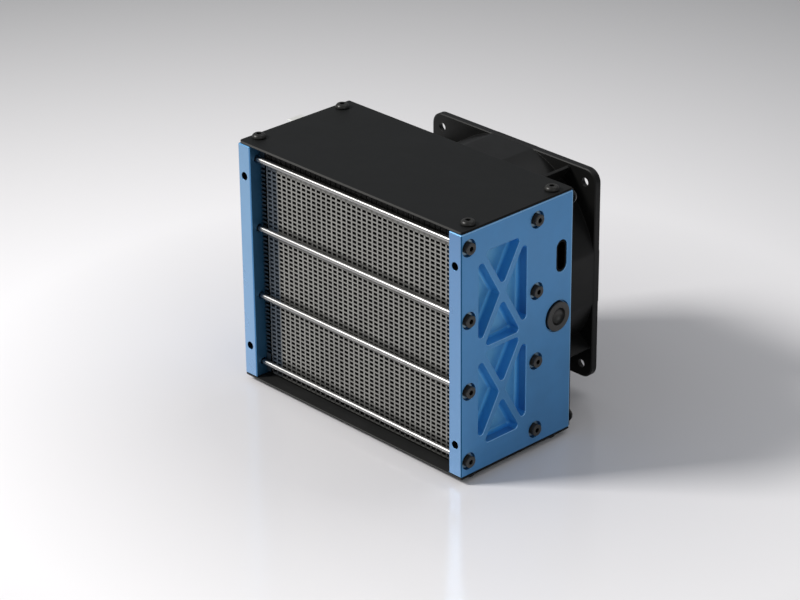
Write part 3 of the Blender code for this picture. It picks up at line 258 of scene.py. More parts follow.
def surface(name, colour, rough, metal, grain=1500.0, bump=0.08, mottle=0.06, edge=0.0, edge_colour=None,
            stretch=None, shades=None, **sockets):
    """A finish with fine grain, slow mottling, a softened edge and, if asked, a lighter edge, partly wear and
    partly painted highlight.

    shades, if given, makes pairs of a factor and the colour that it brings, laid over one after another;
    mostly painted light and shade.
    """
    made, tree, shader = nodes_of(name)
    rough_spread = 0.12
    slow = noise(tree, scale=60.0, detail=3.0)
    dark = tuple(c * (1 - mottle) for c in colour)
    light = tuple(min(1.0, c * (1 + mottle)) for c in colour)
    result = blend_colours(tree, remap(tree, slow, 0.0, 1.0), dark, light)
    fine = noise(tree, scale=grain, detail=5.0, stretch=stretch)
    specks = remap(tree, fine, 0.0, 0.35, start=0.45, end=0.75)
    result = blend_colours(tree, specks, result, light)
    for factor, shade in shades(tree) if shades else ():
        result = blend_colours(tree, factor, result, shade)
    normal = None
    if edge:
        soft = tree.nodes.new("ShaderNodeBevel")
        soft.inputs["Radius"].default_value = edge
        soft.samples = 6
        normal = soft.outputs["Normal"]
        # Lighter edges: partly wear, partly painted highlight
        if edge_colour:
            result = blend_colours(tree, worn_and_highlit_edges(tree, normal), result, edge_colour)
    tree.links.new(result, shader.inputs["Base Color"])
    uneven = remap(tree, slow, rough * (1 - rough_spread), rough * (1 + rough_spread))
    tree.links.new(uneven, shader.inputs["Roughness"])
    shader.inputs["Metallic"].default_value = metal
    if bump:
        relief = tree.nodes.new("ShaderNodeBump")
        relief.inputs["Strength"].default_value = bump
        relief.inputs["Distance"].default_value = 0.1 * MM
        tree.links.new(fine, relief.inputs["Height"])
        if normal:
            tree.links.new(normal, relief.inputs["Normal"])
        normal = relief.outputs["Normal"]
    if normal:
        tree.links.new(normal, shader.inputs["Normal"])
    for socket, value in sockets.items():
        shader.inputs[socket.replace("_", " ")].default_value = value
    return made


# Painted light and shade that depend on the place

def cell_painted_shade(tree):
    """Painted shade in the channels behind the front edges, below the lowest rod and in bands by the rods;
    darker tabs above the top rod; painted blue reflection and shade by the left plate.
    """
    low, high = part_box("cell_stack")
    low_rod, top_rod = BOLT_ROWS[0], BOLT_ROWS[3]
    half = (high.y - low.y) / 2
    depth = calculate(tree, "ABSOLUTE", place_along(tree, "Y", -(low.y + high.y) / 2), 0.0)
    height = place_along(tree, "Z")
    length = place_along(tree, "X")
    # Colours of the painted shade, of the left plate's painted blue reflection and of the darker top tabs
    channel_shade, rod_shadow_colour, plate_reflection_shade = (0.002, 0.002, 0.002), (0.024, 0.024, 0.023), (0.035, 0.052, 0.075)
    upper_tabs, below_rod_shade = (0.003, 0.003, 0.003), (0.030, 0.030, 0.029)
    rod_shade, under_rod, over_rod = 0.62, 1.5 * MM, 3.6 * MM
    pairs = [(remap(tree, depth, 1.0, 0.0, start=half - 0.38 * MM, end=half - 0.12 * MM), channel_shade)]
    # Painted shadow band over each rod
    for row in BOLT_ROWS:
        band = near_band(tree, height, row - under_rod, row + over_rod, soft=1.8 * MM)
        pairs.append((calculate(tree, "MULTIPLY", band, rod_shade), rod_shadow_colour))
    # Painted blue reflection and shade beside the left plate; painted shade below the lowest rod
    left_end = remap(tree, length, 0.80, 0.0, start=low.x + 7.0 * MM, end=low.x + 8.6 * MM)
    above = remap(tree, height, 0.0, 1.0, start=top_rod + 0.3 * MM, end=top_rod + 0.9 * MM)
    below = remap(tree, height, 0.75, 0.0, start=low_rod - 2.0 * MM, end=low_rod)
    return pairs + [(left_end, plate_reflection_shade), (above, upper_tabs), (below, below_rod_shade)]


def sheet_edge_light_and_shade(tree):
    """Painted light and shade on the covers' cut edges: the front edges a little lighter than their faces,
    the side edges darker.
    """
    return [(faces_along(tree, "Y", -1.0), (0.060, 0.059, 0.056)),
            (faces_along(tree, "X"), (0.001, 0.001, 0.001))]


def plate_rear_edge_highlight(tree):
    """A painted highlight: a thin bright line where each end plate's faces meet its rear edge."""
    _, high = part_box("right_end_plate")
    bright = (0.24, 0.50, 0.78)
    depth = place_along(tree, "Y")
    near_rear = remap(tree, depth, 0.0, 1.0, start=high.y - 1.0 * MM, end=high.y - 0.8 * MM)
    return [(calculate(tree, "MULTIPLY", near_rear, faces_along(tree, "X")), bright)]


def port_shades(tree):
    """The dish's sides fall into shade."""
    return [(remap(tree, faces_along(tree, "Z"), 1.0, 0.0, 0.0, 1.0), (0.006, 0.006, 0.006))]


def manifold_painted_shade(tree):
    """Painted shade: the comb's notches and the collar's inside are darker than the plate's front edge."""
    low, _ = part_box("left_manifold_plate")
    shade = (0.001, 0.001, 0.001)
    depth = place_along(tree, "Y", NODES["left_manifold_plate"].matrix_world.translation.y)
    return [(remap(tree, depth, 0.0, 1.0, start=low.y + 0.05 * MM, end=low.y + 0.30 * MM), shade)]


def painted_floor_reflection(start, colour):
    """A painted reflection of the pale floor: an upright face gets lighter from a height down to its foot."""
    def shades(tree):
        return [(remap(tree, place_along(tree, "Z"), 1.0, 0.0, PLATE_LOW.z, start), colour)]
    return shades


# Materials

def blue(name, colour, rough, metal, bump, coat, coat_rough=0.22, mottle=0.05, **looks):
    """Blue anodised aluminium under its sealed skin."""
    return surface(name, colour, rough, metal, grain=2600.0, bump=bump, mottle=mottle, Coat_Weight=coat,
                   Coat_Roughness=coat_rough, Coat_IOR=1.9, **looks)


def sheet(name, colour, **looks):
    """Black coated sheet metal."""
    return surface(name, colour, 0.50, 0.0, grain=1700.0, bump=0.22, mottle=0.10, edge=0.3 * MM,
                   Specular_IOR_Level=0.13, **looks)


BLUE = blue("look_blue_anodised", (0.060, 0.258, 0.550), 0.34, 0.55, bump=0.22, coat=0.22, mottle=0.06,
            edge=0.4 * MM, edge_colour=(0.16, 0.42, 0.75), shades=plate_rear_edge_highlight)
# Painted light: copies of the blue for the front faces, toned for how the light falls on each plate's front,
# the left lighter than the right
BLUE_FRONT = blue("look_blue_front_face_painted_light", (0.042, 0.185, 0.415), 0.30, 0.55, bump=0.20, coat=0.75,
                  edge=0.3 * MM, shades=painted_floor_reflection(PLATE_HIGH.z, (0.135, 0.335, 0.630)))
BLUE_FRONT_LEFT = blue("look_blue_left_front_face_painted_light", (0.100, 0.282, 0.510), 0.30, 0.55, bump=0.20, coat=1.0,
                       edge=0.3 * MM, shades=painted_floor_reflection(80 * MM, (0.185, 0.395, 0.690)))
# Painted shade: a darker copy of the blue for the plates' inner faces and the top front chamfer
BLUE_INNER_SHADED = blue("look_blue_inner_face_painted_shade", (0.040, 0.145, 0.275), 0.38, 0.55, bump=0.10, coat=0.10,
                  edge=0.3 * MM)
# Painted reflection: a deeper blue copy for the pockets' walls, for the blue light bounced between wall and
# floor
BLUE_POCKET_WALL_PAINTED = blue("look_blue_pocket", (0.058, 0.350, 0.730), 0.48, 0.45, bump=0.10, coat=0.12,
                   coat_rough=0.30)
# Painted light: a lighter copy of the blue for the pockets' floors
BLUE_POCKET_FLOOR_LIT = blue("look_blue_pocket_floor_painted_light", (0.118, 0.410, 0.700), 0.42, 0.50, bump=0.20, coat=0.22,
                  coat_rough=0.30)
# Painted highlight: a light copy of the blue for the top chamfers and the pocket rims that face up
BLUE_RIM_HIGHLIGHT = blue("look_blue_chamfer_painted_highlight", (0.20, 0.48, 0.82), 0.34, 0.30, bump=0.05, coat=0.35)
# Painted shade: a dark copy of the blue for the upright front chamfers
BLUE_FRONT_CHAMFER_SHADED = surface("look_blue_front_chamfer_painted_shade", (0.008, 0.095, 0.220), 0.40, 0.2, grain=2600.0, bump=0.05,
                    mottle=0.05, Specular_IOR_Level=0.15)
# Painted shade: near black inside the plates' edge holes
HOLE = surface("look_hole_inside_painted_shade", (0.002, 0.003, 0.005), 0.6, 0.0, grain=2200.0, bump=0.05, mottle=0.1,
               Specular_IOR_Level=0.1)
SHEET = sheet("look_black_sheet", (0.0100, 0.0105, 0.0105), edge_colour=(0.035, 0.035, 0.035),
              shades=sheet_edge_light_and_shade)
BASE_SHEET = sheet("look_black_base_sheet", (0.0190, 0.0193, 0.0190), edge_colour=(0.035, 0.035, 0.035),
                   shades=sheet_edge_light_and_shade)
PANEL = sheet("look_black_panel", (0.0100, 0.0105, 0.0105))
CELLS = surface("look_cell_plates", (0.25, 0.248, 0.235), 0.46, 0.25, grain=1900.0, bump=0.10, mottle=0.10,
                shades=cell_painted_shade, Specular_IOR_Level=0.15)
CELL_GAPS = surface("look_cell_seals", (0.012, 0.012, 0.012), 0.7, 0.0, grain=1500.0, bump=0.1, mottle=0.1)
# Dark plastic, tinted blue as a painted reflection of the end plates
MANIFOLD = surface("look_manifold_plastic", (0.036, 0.055, 0.078), 0.5, 0.0, grain=1200.0, bump=0.08,
                   mottle=0.1, edge=0.2 * MM, shades=manifold_painted_shade, Specular_IOR_Level=0.10)
COPPER = surface("look_plated_copper", (0.34, 0.33, 0.31), 0.38, 1.0, grain=900.0, bump=0.05, mottle=0.06,
                 edge=0.2 * MM, stretch=(1.0, 1.0, 0.1))
STEEL = surface("look_polished_steel", (0.36, 0.357, 0.350), 0.33, 1.0, grain=2500.0, bump=0.0, mottle=0.02)
# Steel washers, tinted teal as a painted reflection of the blue counterbores
WASHER_STEEL = surface("look_washer_painted_blue_reflection", (0.17, 0.25, 0.31), 0.30, 1.0, grain=2500.0, bump=0.03, mottle=0.05,
                    edge=0.2 * MM)
BLACK_STEEL = surface("look_black_oxide", (0.023, 0.0225, 0.021), 0.38, 0.25, grain=2200.0, bump=0.06,
                      mottle=0.12, edge=0.25 * MM, edge_colour=(0.045, 0.044, 0.041), Specular_IOR_Level=0.35)
HEAD_STEEL = surface("look_bolt_heads", (0.046, 0.044, 0.041), 0.36, 0.25, grain=2200.0, bump=0.06,
                     mottle=0.12, edge=0.25 * MM, edge_colour=(0.11, 0.11, 0.105), Specular_IOR_Level=0.45)
# Painted shade: near black inside the screws' hex sockets
SOCKET_SHADE = surface("look_socket_painted_shade", (0.005, 0.005, 0.005), 0.6, 0.0, grain=2200.0, bump=0.05, mottle=0.1,
                 Specular_IOR_Level=0.2)
FAN = surface("look_fan_plastic", (0.0060, 0.0060, 0.0058), 0.42, 0.0, grain=1400.0, bump=0.10, mottle=0.10,
              edge=0.4 * MM, edge_colour=(0.020, 0.020, 0.0195), Specular_IOR_Level=0.22)
RUBBER = surface("look_gasket_rubber", (0.010, 0.010, 0.0098), 0.75, 0.0, grain=900.0, bump=0.2, mottle=0.1,
                 Specular_IOR_Level=0.2)
BRONZE = surface("look_bearing_bronze", (0.62, 0.40, 0.20), 0.3, 1.0, grain=1500.0, bump=0.04, mottle=0.06)
PORT = surface("look_port_plastic", (0.030, 0.029, 0.027), 0.33, 0.0, grain=1500.0, bump=0.08, mottle=0.10,
               edge=0.3 * MM, edge_colour=(0.075, 0.073, 0.068), shades=port_shades, Specular_IOR_Level=0.5)
NYLON = surface("look_connector_nylon", (0.62, 0.62, 0.60), 0.45, 0.0, grain=900.0, bump=0.05, mottle=0.04,
                edge=0.3 * MM)


def dress_solids():
    """Gives the CAD nodes that stay as they are their looks."""
    for node, made in (("left_manifold_plate", MANIFOLD), ("right_manifold_plate", MANIFOLD),
                       ("left_current_collector", COPPER), ("right_current_collector", COPPER),
                       ("fan_gasket", RUBBER), ("fan_shaft", STEEL), ("fan_bearing", BRONZE),
                       ("connector", NYLON), ("connector_pin_1", STEEL), ("connector_pin_2", STEEL)):
        mesh = NODES[node].data
        mesh.materials.clear()
        mesh.materials.append(made)


# End plates; the sizes of their cuts are in millimetres

# Slots of an end plate's looks; apart from FACE they hold painted shade, light or highlight
FACE, BORE, FRONT_EDGE, FRONT, RIM, INNER, POCKET, POCKET_FLOOR = range(8)
OUTSIDE = 1.0
POCKET_RIM = 0.25
POCKET_WALL = 4.9
POCKET_FILLET = 1.9
POCKET_CORNER = 2.0
EDGE_HOLE = 2.2
EDGE_HOLE_DEPTH = 10.0


def obround(width, length, steps):
    """An upright slot with round ends."""
    straight = (length - width) / 2
    half = [math.pi * k / steps for k in range(steps + 1)]
    top = [(width / 2 * math.cos(a), straight + width / 2 * math.sin(a)) for a in half]
    return top + [(-u, -v) for u, v in top]


def rounded(corners, radius, shrink, steps):
    """A convex outline with each corner an arc, moved inwards by shrink."""
    outline = []
    count = len(corners)
    for k, corner in enumerate(corners):
        here = Vector(corner)
        back = (Vector(corners[k - 1]) - here).normalized()
        ahead = (Vector(corners[(k + 1) % count]) - here).normalized()
        half_angle = back.angle(ahead) / 2
        centre = here + (back + ahead).normalized() * (radius / math.sin(half_angle))
        start = math.atan2(back.x, -back.y)
        sweep = math.pi - 2 * half_angle
        for j in range(steps + 1):
            angle = start + sweep * j / steps
            outline.append((centre.x + (radius - shrink) * math.cos(angle),
                            centre.y + (radius - shrink) * math.sin(angle)))
    return outline


def truss_pockets():
    """The sharp corners of the eight triangles, from the plate's front lower corner."""
    half_w, half_h, bar, past = 17.0, 26.0, 3.6, 3.45
    middle_u, middle_v, group_apart = 29.0, 67.0, 27.3
    bar_angle = math.atan2(half_h + past, half_w)
    slope = math.tan(bar_angle)
    side = bar / 2 / math.sin(bar_angle)
    rise = bar / 2 / math.cos(bar_angle)
    base = (half_h - rise) / slope
    reach = (half_w - side) * slope
    top = [(base, half_h), (-base, half_h), (0.0, rise)]
    right = [(side, 0.0), (half_w, -reach), (half_w, reach)]
    four = [top, right, [(-u, -v) for u, v in top], [(-u, -v) for u, v in right]]
    return [[(u + middle_u, v + middle_v + group) for u, v in corners]
            for group in (-group_apart, group_apart) for corners in four]


def plate_cutter(low, high, side, edge_holes):
    """All that is milled and drilled out of an end plate, as one bmesh that starts outside its faces."""
    face_x = high.x if side > 0 else low.x
    through = (high.x - low.x) / MM + OUTSIDE
    tool = bmesh.new()

    def ring(points, deep, place=(0.0, 0.0)):
        return [(face_x - side * deep * MM, low.y + u + place[0], low.z + v + place[1]) for u, v in points]

    def bore(node, profile, steps):
        centre, _, _ = centre_of(node)
        place = (centre.y - low.y, centre.z - low.z)
        loft(tool, [ring(circle(radius * MM, steps), deep, place) for radius, deep in profile])

    depths = [(-OUTSIDE, -OUTSIDE - POCKET_RIM), (0.0, -POCKET_RIM), (POCKET_RIM, 0.0), (POCKET_WALL, 0.0)]
    depths += [(POCKET_WALL + POCKET_FILLET * math.sin(turn), POCKET_FILLET * (1 - math.cos(turn)))
               for turn in quarter(8, first=1)]
    for corners in truss_pockets():
        outlines = [(deep, rounded(corners, POCKET_CORNER, shrink, 8)) for deep, shrink in depths]
        loft(tool, [ring([(u * MM, v * MM) for u, v in outline], deep) for deep, outline in outlines])

    head, head_depth, shank = 4.7, 2.6, 2.15
    profile = ((head, -OUTSIDE), (head, head_depth), (shank, head_depth), (shank, through))
    for k in range(1, 9):
        bore(f"tie_bolt_{k}", profile, 48)

    seat, seat_depth, seat_edge, neck = 8.5, 1.3, 0.3, 6.3
    profile = ((seat + seat_edge + OUTSIDE, -OUTSIDE), (seat, seat_edge), (seat, seat_depth),
               (neck, seat_depth), (neck, through))
    bore("right_gas_port", profile, 72)

    width, length, slot_edge = 7.5, 17.6, 0.25
    slot_place = (71.2 * MM, 100.3 * MM)
    flare = 2 * (slot_edge + OUTSIDE)
    outline = obround(width * MM, length * MM, 20)
    wide = obround((width + flare) * MM, (length + flare) * MM, 20)
    loft(tool, [ring(wide, -OUTSIDE, slot_place), ring(outline, slot_edge, slot_place),
                ring(outline, through, slot_place)])

    hole_edge = 0.1
    profile = ((EDGE_HOLE + hole_edge + OUTSIDE, -OUTSIDE), (EDGE_HOLE, hole_edge),
               (EDGE_HOLE, EDGE_HOLE_DEPTH))
    for x, z in edge_holes:
        loft(tool, [[(x + u, low.y + deep * MM, z + v) for u, v in circle(radius * MM, 40)]
                    for radius, deep in profile])
    return tool


def plate_slot(face, low, high, side, edge_holes, field):
    """The look of one face of an end plate, most of them lit, shaded or highlighted copies of the blue as
    painted light; field is the low and high corner of the pockets' field.
    """
    spot, normal = face.center, face.normal
    outwards = side * normal.x
    deep = side * ((high.x if side > 0 else low.x) - spot.x)
    skin, chamfer, least, floor_from, deepest = 0.15 * MM, 0.6 * MM, 0.03 * MM, 6.0 * MM, 7.0 * MM
    same_way, nearly_same_way, slack = 0.99, 0.9, 0.1
    on_front_chamfer = spot.y < low.y + chamfer
    on_top_chamfer = spot.z > high.z - chamfer
    in_field = field[0][0] < spot.y < field[1][0] and field[0][1] < spot.z < field[1][1]
    hole_end = low.y + (EDGE_HOLE_DEPTH + slack) * MM
    hole_reach = (EDGE_HOLE + slack) * MM
    # Painted shade inside the edge holes
    if low.y + skin < spot.y < hole_end and any(
            math.hypot(spot.x - x, spot.z - z) < hole_reach for x, z in edge_holes):
        return BORE
    # Painted shade on the upright front chamfers
    if on_front_chamfer and normal.dot(Vector((side, -1.0, 0.0)).normalized()) > same_way:
        return FRONT_EDGE
    # Painted highlight on the top chamfers
    if on_top_chamfer and normal.dot(Vector((side, 0.0, 1.0)).normalized()) > same_way:
        return RIM
    # Painted light on the front faces
    if spot.y < low.y + skin and normal.y < -nearly_same_way:
        return FRONT
    # Painted shade on the inner faces and the top front chamfer
    brow = Vector((0.0, -1.0, 1.0)).normalized()
    if outwards < -nearly_same_way or on_top_chamfer and normal.dot(brow) > same_way:
        return INNER
    # Painted highlight on the pocket rims that face up
    if least < deep < POCKET_RIM * MM and 0.5 < outwards < nearly_same_way:
        return RIM if normal.z > 0.1 else FACE
    # Painted reflection on the pocket walls, painted light on their floors
    if least < deep < deepest and in_field:
        return POCKET_FLOOR if deep > floor_from and outwards > 0.95 else POCKET
    return FACE


def end_plates():
    """The milled end plates: counterbores, soft-floored truss pockets, slot, port seat and screw holes."""
    chamfer, hole_height = 0.5 * MM, 17.6 * MM
    corners = [corner for pocket in truss_pockets() for corner in pocket]
    for node, side in (("right_end_plate", 1), ("left_end_plate", -1)):
        low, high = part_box(node)
        body = bmesh.new()
        block(body, low, high)
        bmesh.ops.bevel(body, geom=list(body.edges), offset=chamfer, segments=1, affect="EDGES")
        piece = link("fine_" + node, to_mesh(body, "mesh_" + node, 25))
        face_x = high.x if side > 0 else low.x
        hole_x = face_x - side * (high.x - low.x) / 2
        edge_holes = [(hole_x, low.z + hole_height), (hole_x, low.z + (high.z - low.z - hole_height))]
        carve(piece, link("cutter", to_mesh(plate_cutter(low, high, side, edge_holes), "cutter")), 30)
        mesh = piece.data
        front = BLUE_FRONT if side > 0 else BLUE_FRONT_LEFT
        # The blue, then its copies with painted shade, light and highlight, in the slots' order
        for made in (BLUE, HOLE, BLUE_FRONT_CHAMFER_SHADED, front, BLUE_RIM_HIGHLIGHT, BLUE_INNER_SHADED, BLUE_POCKET_WALL_PAINTED, BLUE_POCKET_FLOOR_LIT):
            mesh.materials.append(made)
        field = [[low[axis + 1] + pick(corner[axis] for corner in corners) * MM for axis in (0, 1)]
                 for pick in (min, max)]
        for face in mesh.polygons:
            face.material_index = plate_slot(face, low, high, side, edge_holes, field)
        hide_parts(node)
        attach(piece, "stack")


# Covers and rear panel

def covers():
    """The two cover sheets, with soft edges; each stops just short of the end plates' faces."""
    front_corner, corner, turn_in, corner_steps = 2.0 * MM, 0.6 * MM, 0.6 * MM, 6
    for node, inset in (("top_cover", 0.45 * MM), ("bottom_cover", 0.12 * MM)):
        low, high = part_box(node)
        middle = ((low.x + high.x) / 2, (low.y + high.y) / 2)
        outline = []
        for x, y, start in ((high.x, high.y, 0), (low.x, high.y, 90),
                            (low.x, low.y, 180), (high.x, low.y, 270)):
            radius = front_corner if node == "top_cover" and y == low.y else corner
            reach = radius + inset
            centre = (x + math.copysign(reach, middle[0] - x), y + math.copysign(reach, middle[1] - y))
            for k in range(corner_steps + 1):
                turn = math.radians(start + 90 / corner_steps * k)
                outline.append((centre[0] + radius * math.cos(turn), centre[1] + radius * math.sin(turn)))
        shape = bmesh.new()
        rings = [level(outline, low.z), level(outline, high.z)]
        if node == "bottom_cover":
            foot = [(x - math.copysign(turn_in, x), y - math.copysign(turn_in, y - middle[1]))
                    for x, y in outline]
            rings = [level(foot, low.z), level(outline, low.z + turn_in), level(outline, high.z)]
        loft(shape, rings)
        piece = link("fine_" + node, to_mesh(shape, "mesh_" + node, 30))
        piece.data.materials.append(SHEET if node == "top_cover" else BASE_SHEET)
        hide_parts(node)
        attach(piece, "stack")


def rear_panel():
    """The thin panel that carries the fan; its sides stop just short of the end plates' faces."""
    inset = 1.2 * MM
    cad = NODES["rear_panel"]
    low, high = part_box("rear_panel")
    piece = link("fine_rear_panel", cad.data.copy())
    piece.data.transform(cad.matrix_world)
    margin = 2 * MM
    tool = bmesh.new()
    for x0, x1 in ((low.x - margin, low.x + inset), (high.x - inset, high.x + margin)):
        block(tool, (x0, low.y - margin, low.z - margin), (x1, high.y + margin, high.z + margin))
    carve(piece, link("cutter", to_mesh(tool, "cutter")), 30)
    piece.data.materials.clear()
    piece.data.materials.append(PANEL)
    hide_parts("rear_panel")
    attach(piece, "stack")


# Fasteners

def screw_mesh(name, head_radius, head_height, across, depth, shank_radius, reach, domed, look=BLACK_STEEL):
    """A socket screw with its head's bearing face at height 0 and the shank pointing down."""
    steps = 48
    foot, side, flatness, fullness = 0.97, 0.10, 0.85, 1.1
    shape = bmesh.new()
    shank = circle(shank_radius, steps)
    rings = [level(shank, -reach), level(shank, 0.0), level(circle(head_radius * foot, steps), 0.0)]
    if domed:
        rim = across * 0.72
        rings.append(level(circle(head_radius, steps), head_height * side))
        for turn in quarter(8, first=1):
            radius = rim + (head_radius - rim) * math.cos(turn) ** flatness
            height = head_height * (side + (1 - side) * math.sin(turn) ** fullness)
            rings.append(level(circle(radius, steps), height))
    else:
        edge = 0.09 * head_radius
        for turn in quarter(4):
            rings.append(level(circle(head_radius - edge * (1 - math.cos(turn)), steps),
                               head_height - edge * (1 - math.sin(turn))))
        rings.append(level(circle(across * 0.64, steps), head_height))
    mouth = level(hexagon(across * 1.02, steps), head_height - 0.15 * MM)
    rings.append(mouth)
    loft(shape, rings, close=False)
    shape.verts.ensure_lookup_table()
    shape.faces.new(shape.verts[:steps][::-1])
    # The socket's inside takes the painted shade
    loft(shape, [mouth, level(hexagon(across, steps), head_height - depth),
                 level(circle(across * 0.06, steps), head_height - depth * 1.15)], slot=1, close=False)
    weld(shape)
    shape.verts.ensure_lookup_table()
    bmesh.ops.holes_fill(shape, edges=[e for e in shape.edges if e.is_boundary], sides=0)
    mesh = to_mesh(shape, name, 40)
    mesh.materials.append(look)
    mesh.materials.append(SOCKET_SHADE)
    return mesh


def ring_mesh(name, inner, outer, thickness, steps):
    """A flat ring with small chamfers."""
    shape = bmesh.new()
    cut = 0.1 * MM
    profile = [(inner, 0), (outer - cut, 0), (outer, cut), (outer, thickness - cut), (outer - cut, thickness),
               (inner, thickness), (inner, 0)]
    loft(shape, [level(circle(r, steps), z) for r, z in profile], close=False)
    weld(shape)
    return to_mesh(shape, name)


def nut_mesh():
    """A hexagon nut with turned corners and a thread's mouth."""
    steps = 48
    across, height, cut = 5.5 * MM, 2.0 * MM, 0.3 * MM
    thread, mouth, mouth_depth = circle(1.65 * MM, steps), circle(1.9 * MM, steps), 0.2 * MM
    corner = across / math.sqrt(3)
    turned = circle(across / 2 * 0.97, steps)
    shape = bmesh.new()
    rings = [level(thread, mouth_depth), level(mouth, 0), level(turned, 0)]
    for z, way in ((cut, 1), (height - cut, -1)):
        ring = []
        for u, v in hexagon(across, steps):
            drop = (math.hypot(u, v) - across / 2) / (corner - across / 2) * cut
            ring.append((u, v, z + way * drop))
        rings.append(ring)
    rings += [level(turned, height), level(mouth, height), level(thread, height - mouth_depth),
              level(thread, mouth_depth)]
    loft(shape, rings, close=False)
    weld(shape)
    mesh = to_mesh(shape, "mesh_tie_nut", 30)
    mesh.materials.append(BLACK_STEEL)
    return mesh


def stand_for(node, mesh, matrix):
    """Puts a finer piece in the place of a CAD node."""
    piece = link("fine_" + node, mesh)
    piece.matrix_world = matrix
    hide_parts(node)
    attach(piece, "stack")
    return piece


def facing(axis):
    """The turn that takes +Z to an axis."""
    return Vector(axis).to_track_quat("Z", "Y").to_matrix().to_4x4()


def spun(degrees):
    """A turn about the piece's own axis, so that no two screws stand alike."""
    return Matrix.Rotation(math.radians(degrees), 4, "Z")


def button_screws():
    """Domed socket screws in both covers, the rear panel and the fan's flange."""
    head_radius, head, across, depth, shank = 3.8 * MM, 2.2 * MM, 2.5 * MM, 1.4 * MM, 2.0 * MM
    for name, axis in (("top_cover_screw", (0, 0, 1)), ("bottom_cover_screw", (0, 0, -1)),
                       ("panel_screw", (0, 1, 0)), ("fan_screw", (0, 1, 0))):
        along = Vector(axis)
        mesh = None
        for k in range(1, 5):
            node = f"{name}_{k}"
            centre, low, high = centre_of(node)
            span = abs((high - low).dot(along))
            if mesh is None:
                mesh = screw_mesh("mesh_" + name, head_radius, head, across, depth, shank, span - head, True)
            seat = centre + along * (span / 2 - head)
            matrix = Matrix.Translation(seat) @ facing(axis) @ spun(17 + 31 * k)
            stand_for(node, mesh, matrix)


def tie_bolts():
    """Polished rods with black socket heads, their washers and their nuts."""
    head_radius, head, across, depth, rod = 3.1 * MM, 3.0 * MM, 2.4 * MM, 1.6 * MM, 1.5 * MM
    _, low, high = centre_of("tie_bolt_1")
    reach = high.x - low.x - head
    bolt = screw_mesh("mesh_tie_bolt", head_radius, head, across, depth, rod, reach, False, HEAD_STEEL)
    bolt.materials.append(STEEL)
    for face in bolt.polygons:
        if face.center.z < -0.01 * MM:
            face.material_index = 2
    washer = ring_mesh("mesh_tie_washer", inner=1.8 * MM, outer=4.2 * MM, thickness=0.8 * MM, steps=64)
    washer.materials.append(WASHER_STEEL)
    nut = nut_mesh()
    to_right, to_left = facing((1, 0, 0)), facing((-1, 0, 0))
    for k in range(1, 9):
        centre, low, high = centre_of(f"tie_bolt_{k}")
        matrix = Matrix.Translation((high.x - head, centre.y, centre.z)) @ to_right @ spun(13 + 41 * k)
        stand_for(f"tie_bolt_{k}", bolt, matrix)
        centre, low, high = centre_of(f"tie_washer_{k}")
        matrix = Matrix.Translation((low.x, centre.y, centre.z)) @ to_right
        stand_for(f"tie_washer_{k}", washer, matrix)
        centre, low, high = centre_of(f"tie_nut_{k}")
        matrix = Matrix.Translation((high.x, centre.y, centre.z)) @ to_left @ spun(9 + 23 * k)
        stand_for(f"tie_nut_{k}", nut, matrix)


# Cells

def cells():
    """The cell block: an open lattice of air channels between the plates, with tabs above and below it."""
    low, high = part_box("cell_stack")
    count, rows = 36, 49
    pitch = (high.x - low.x) / count
    row_pitch, bar, rib = 2.43 * MM, 1.00 * MM, 0.82 * MM
    set_back, overlap = 0.06 * MM, 0.05 * MM
    lattice = 108.53 * MM
    band_high = (low.z + high.z + lattice) / 2
    band_low = band_high - (rows * row_pitch - rib)
    shape = bmesh.new()
    for k in range(count + 1):
        x = low.x + k * pitch
        x0 = max(low.x, x - bar / 2)
        x1 = min(high.x, x + bar / 2)
        block(shape, (x0, low.y, low.z), (x1, high.y, band_high + row_pitch))
    for k in range(count):
        x0 = low.x + k * pitch + bar / 2 - overlap
        x1 = low.x + (k + 1) * pitch - bar / 2 + overlap
        for r in range(1, rows):
            z = band_low + r * row_pitch
            block(shape, (x0, low.y + set_back, z - rib), (x1, high.y - set_back, z))
    seam = 0.45 * MM
    slit_low, slit_high = high.z - 2.1 * MM, high.z - 1.7 * MM
    for k in range(count):
        x0 = low.x + k * pitch + seam / 2
        x1 = low.x + (k + 1) * pitch - seam / 2
        for z0, z1 in ((low.z, band_low), (band_high, slit_low), (slit_high, high.z)):
            block(shape, (x0, low.y, z0), (x1, high.y, z1))
    front_inset, end_inset, seal_inset = 0.8 * MM, 0.2 * MM, 0.3 * MM
    for z0, z1 in ((low.z, band_low), (band_high, high.z)):
        block(shape, (low.x + end_inset, low.y + front_inset, z0 + seal_inset),
              (high.x - end_inset, high.y - front_inset, z1 - seal_inset), slot=1)
    mesh = to_mesh(shape, "mesh_cells")
    mesh.materials.append(CELLS)
    mesh.materials.append(CELL_GAPS)
    piece = link("fine_cell_stack", mesh)
    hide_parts("cell_stack")
    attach(piece, "stack")


# Gas ports

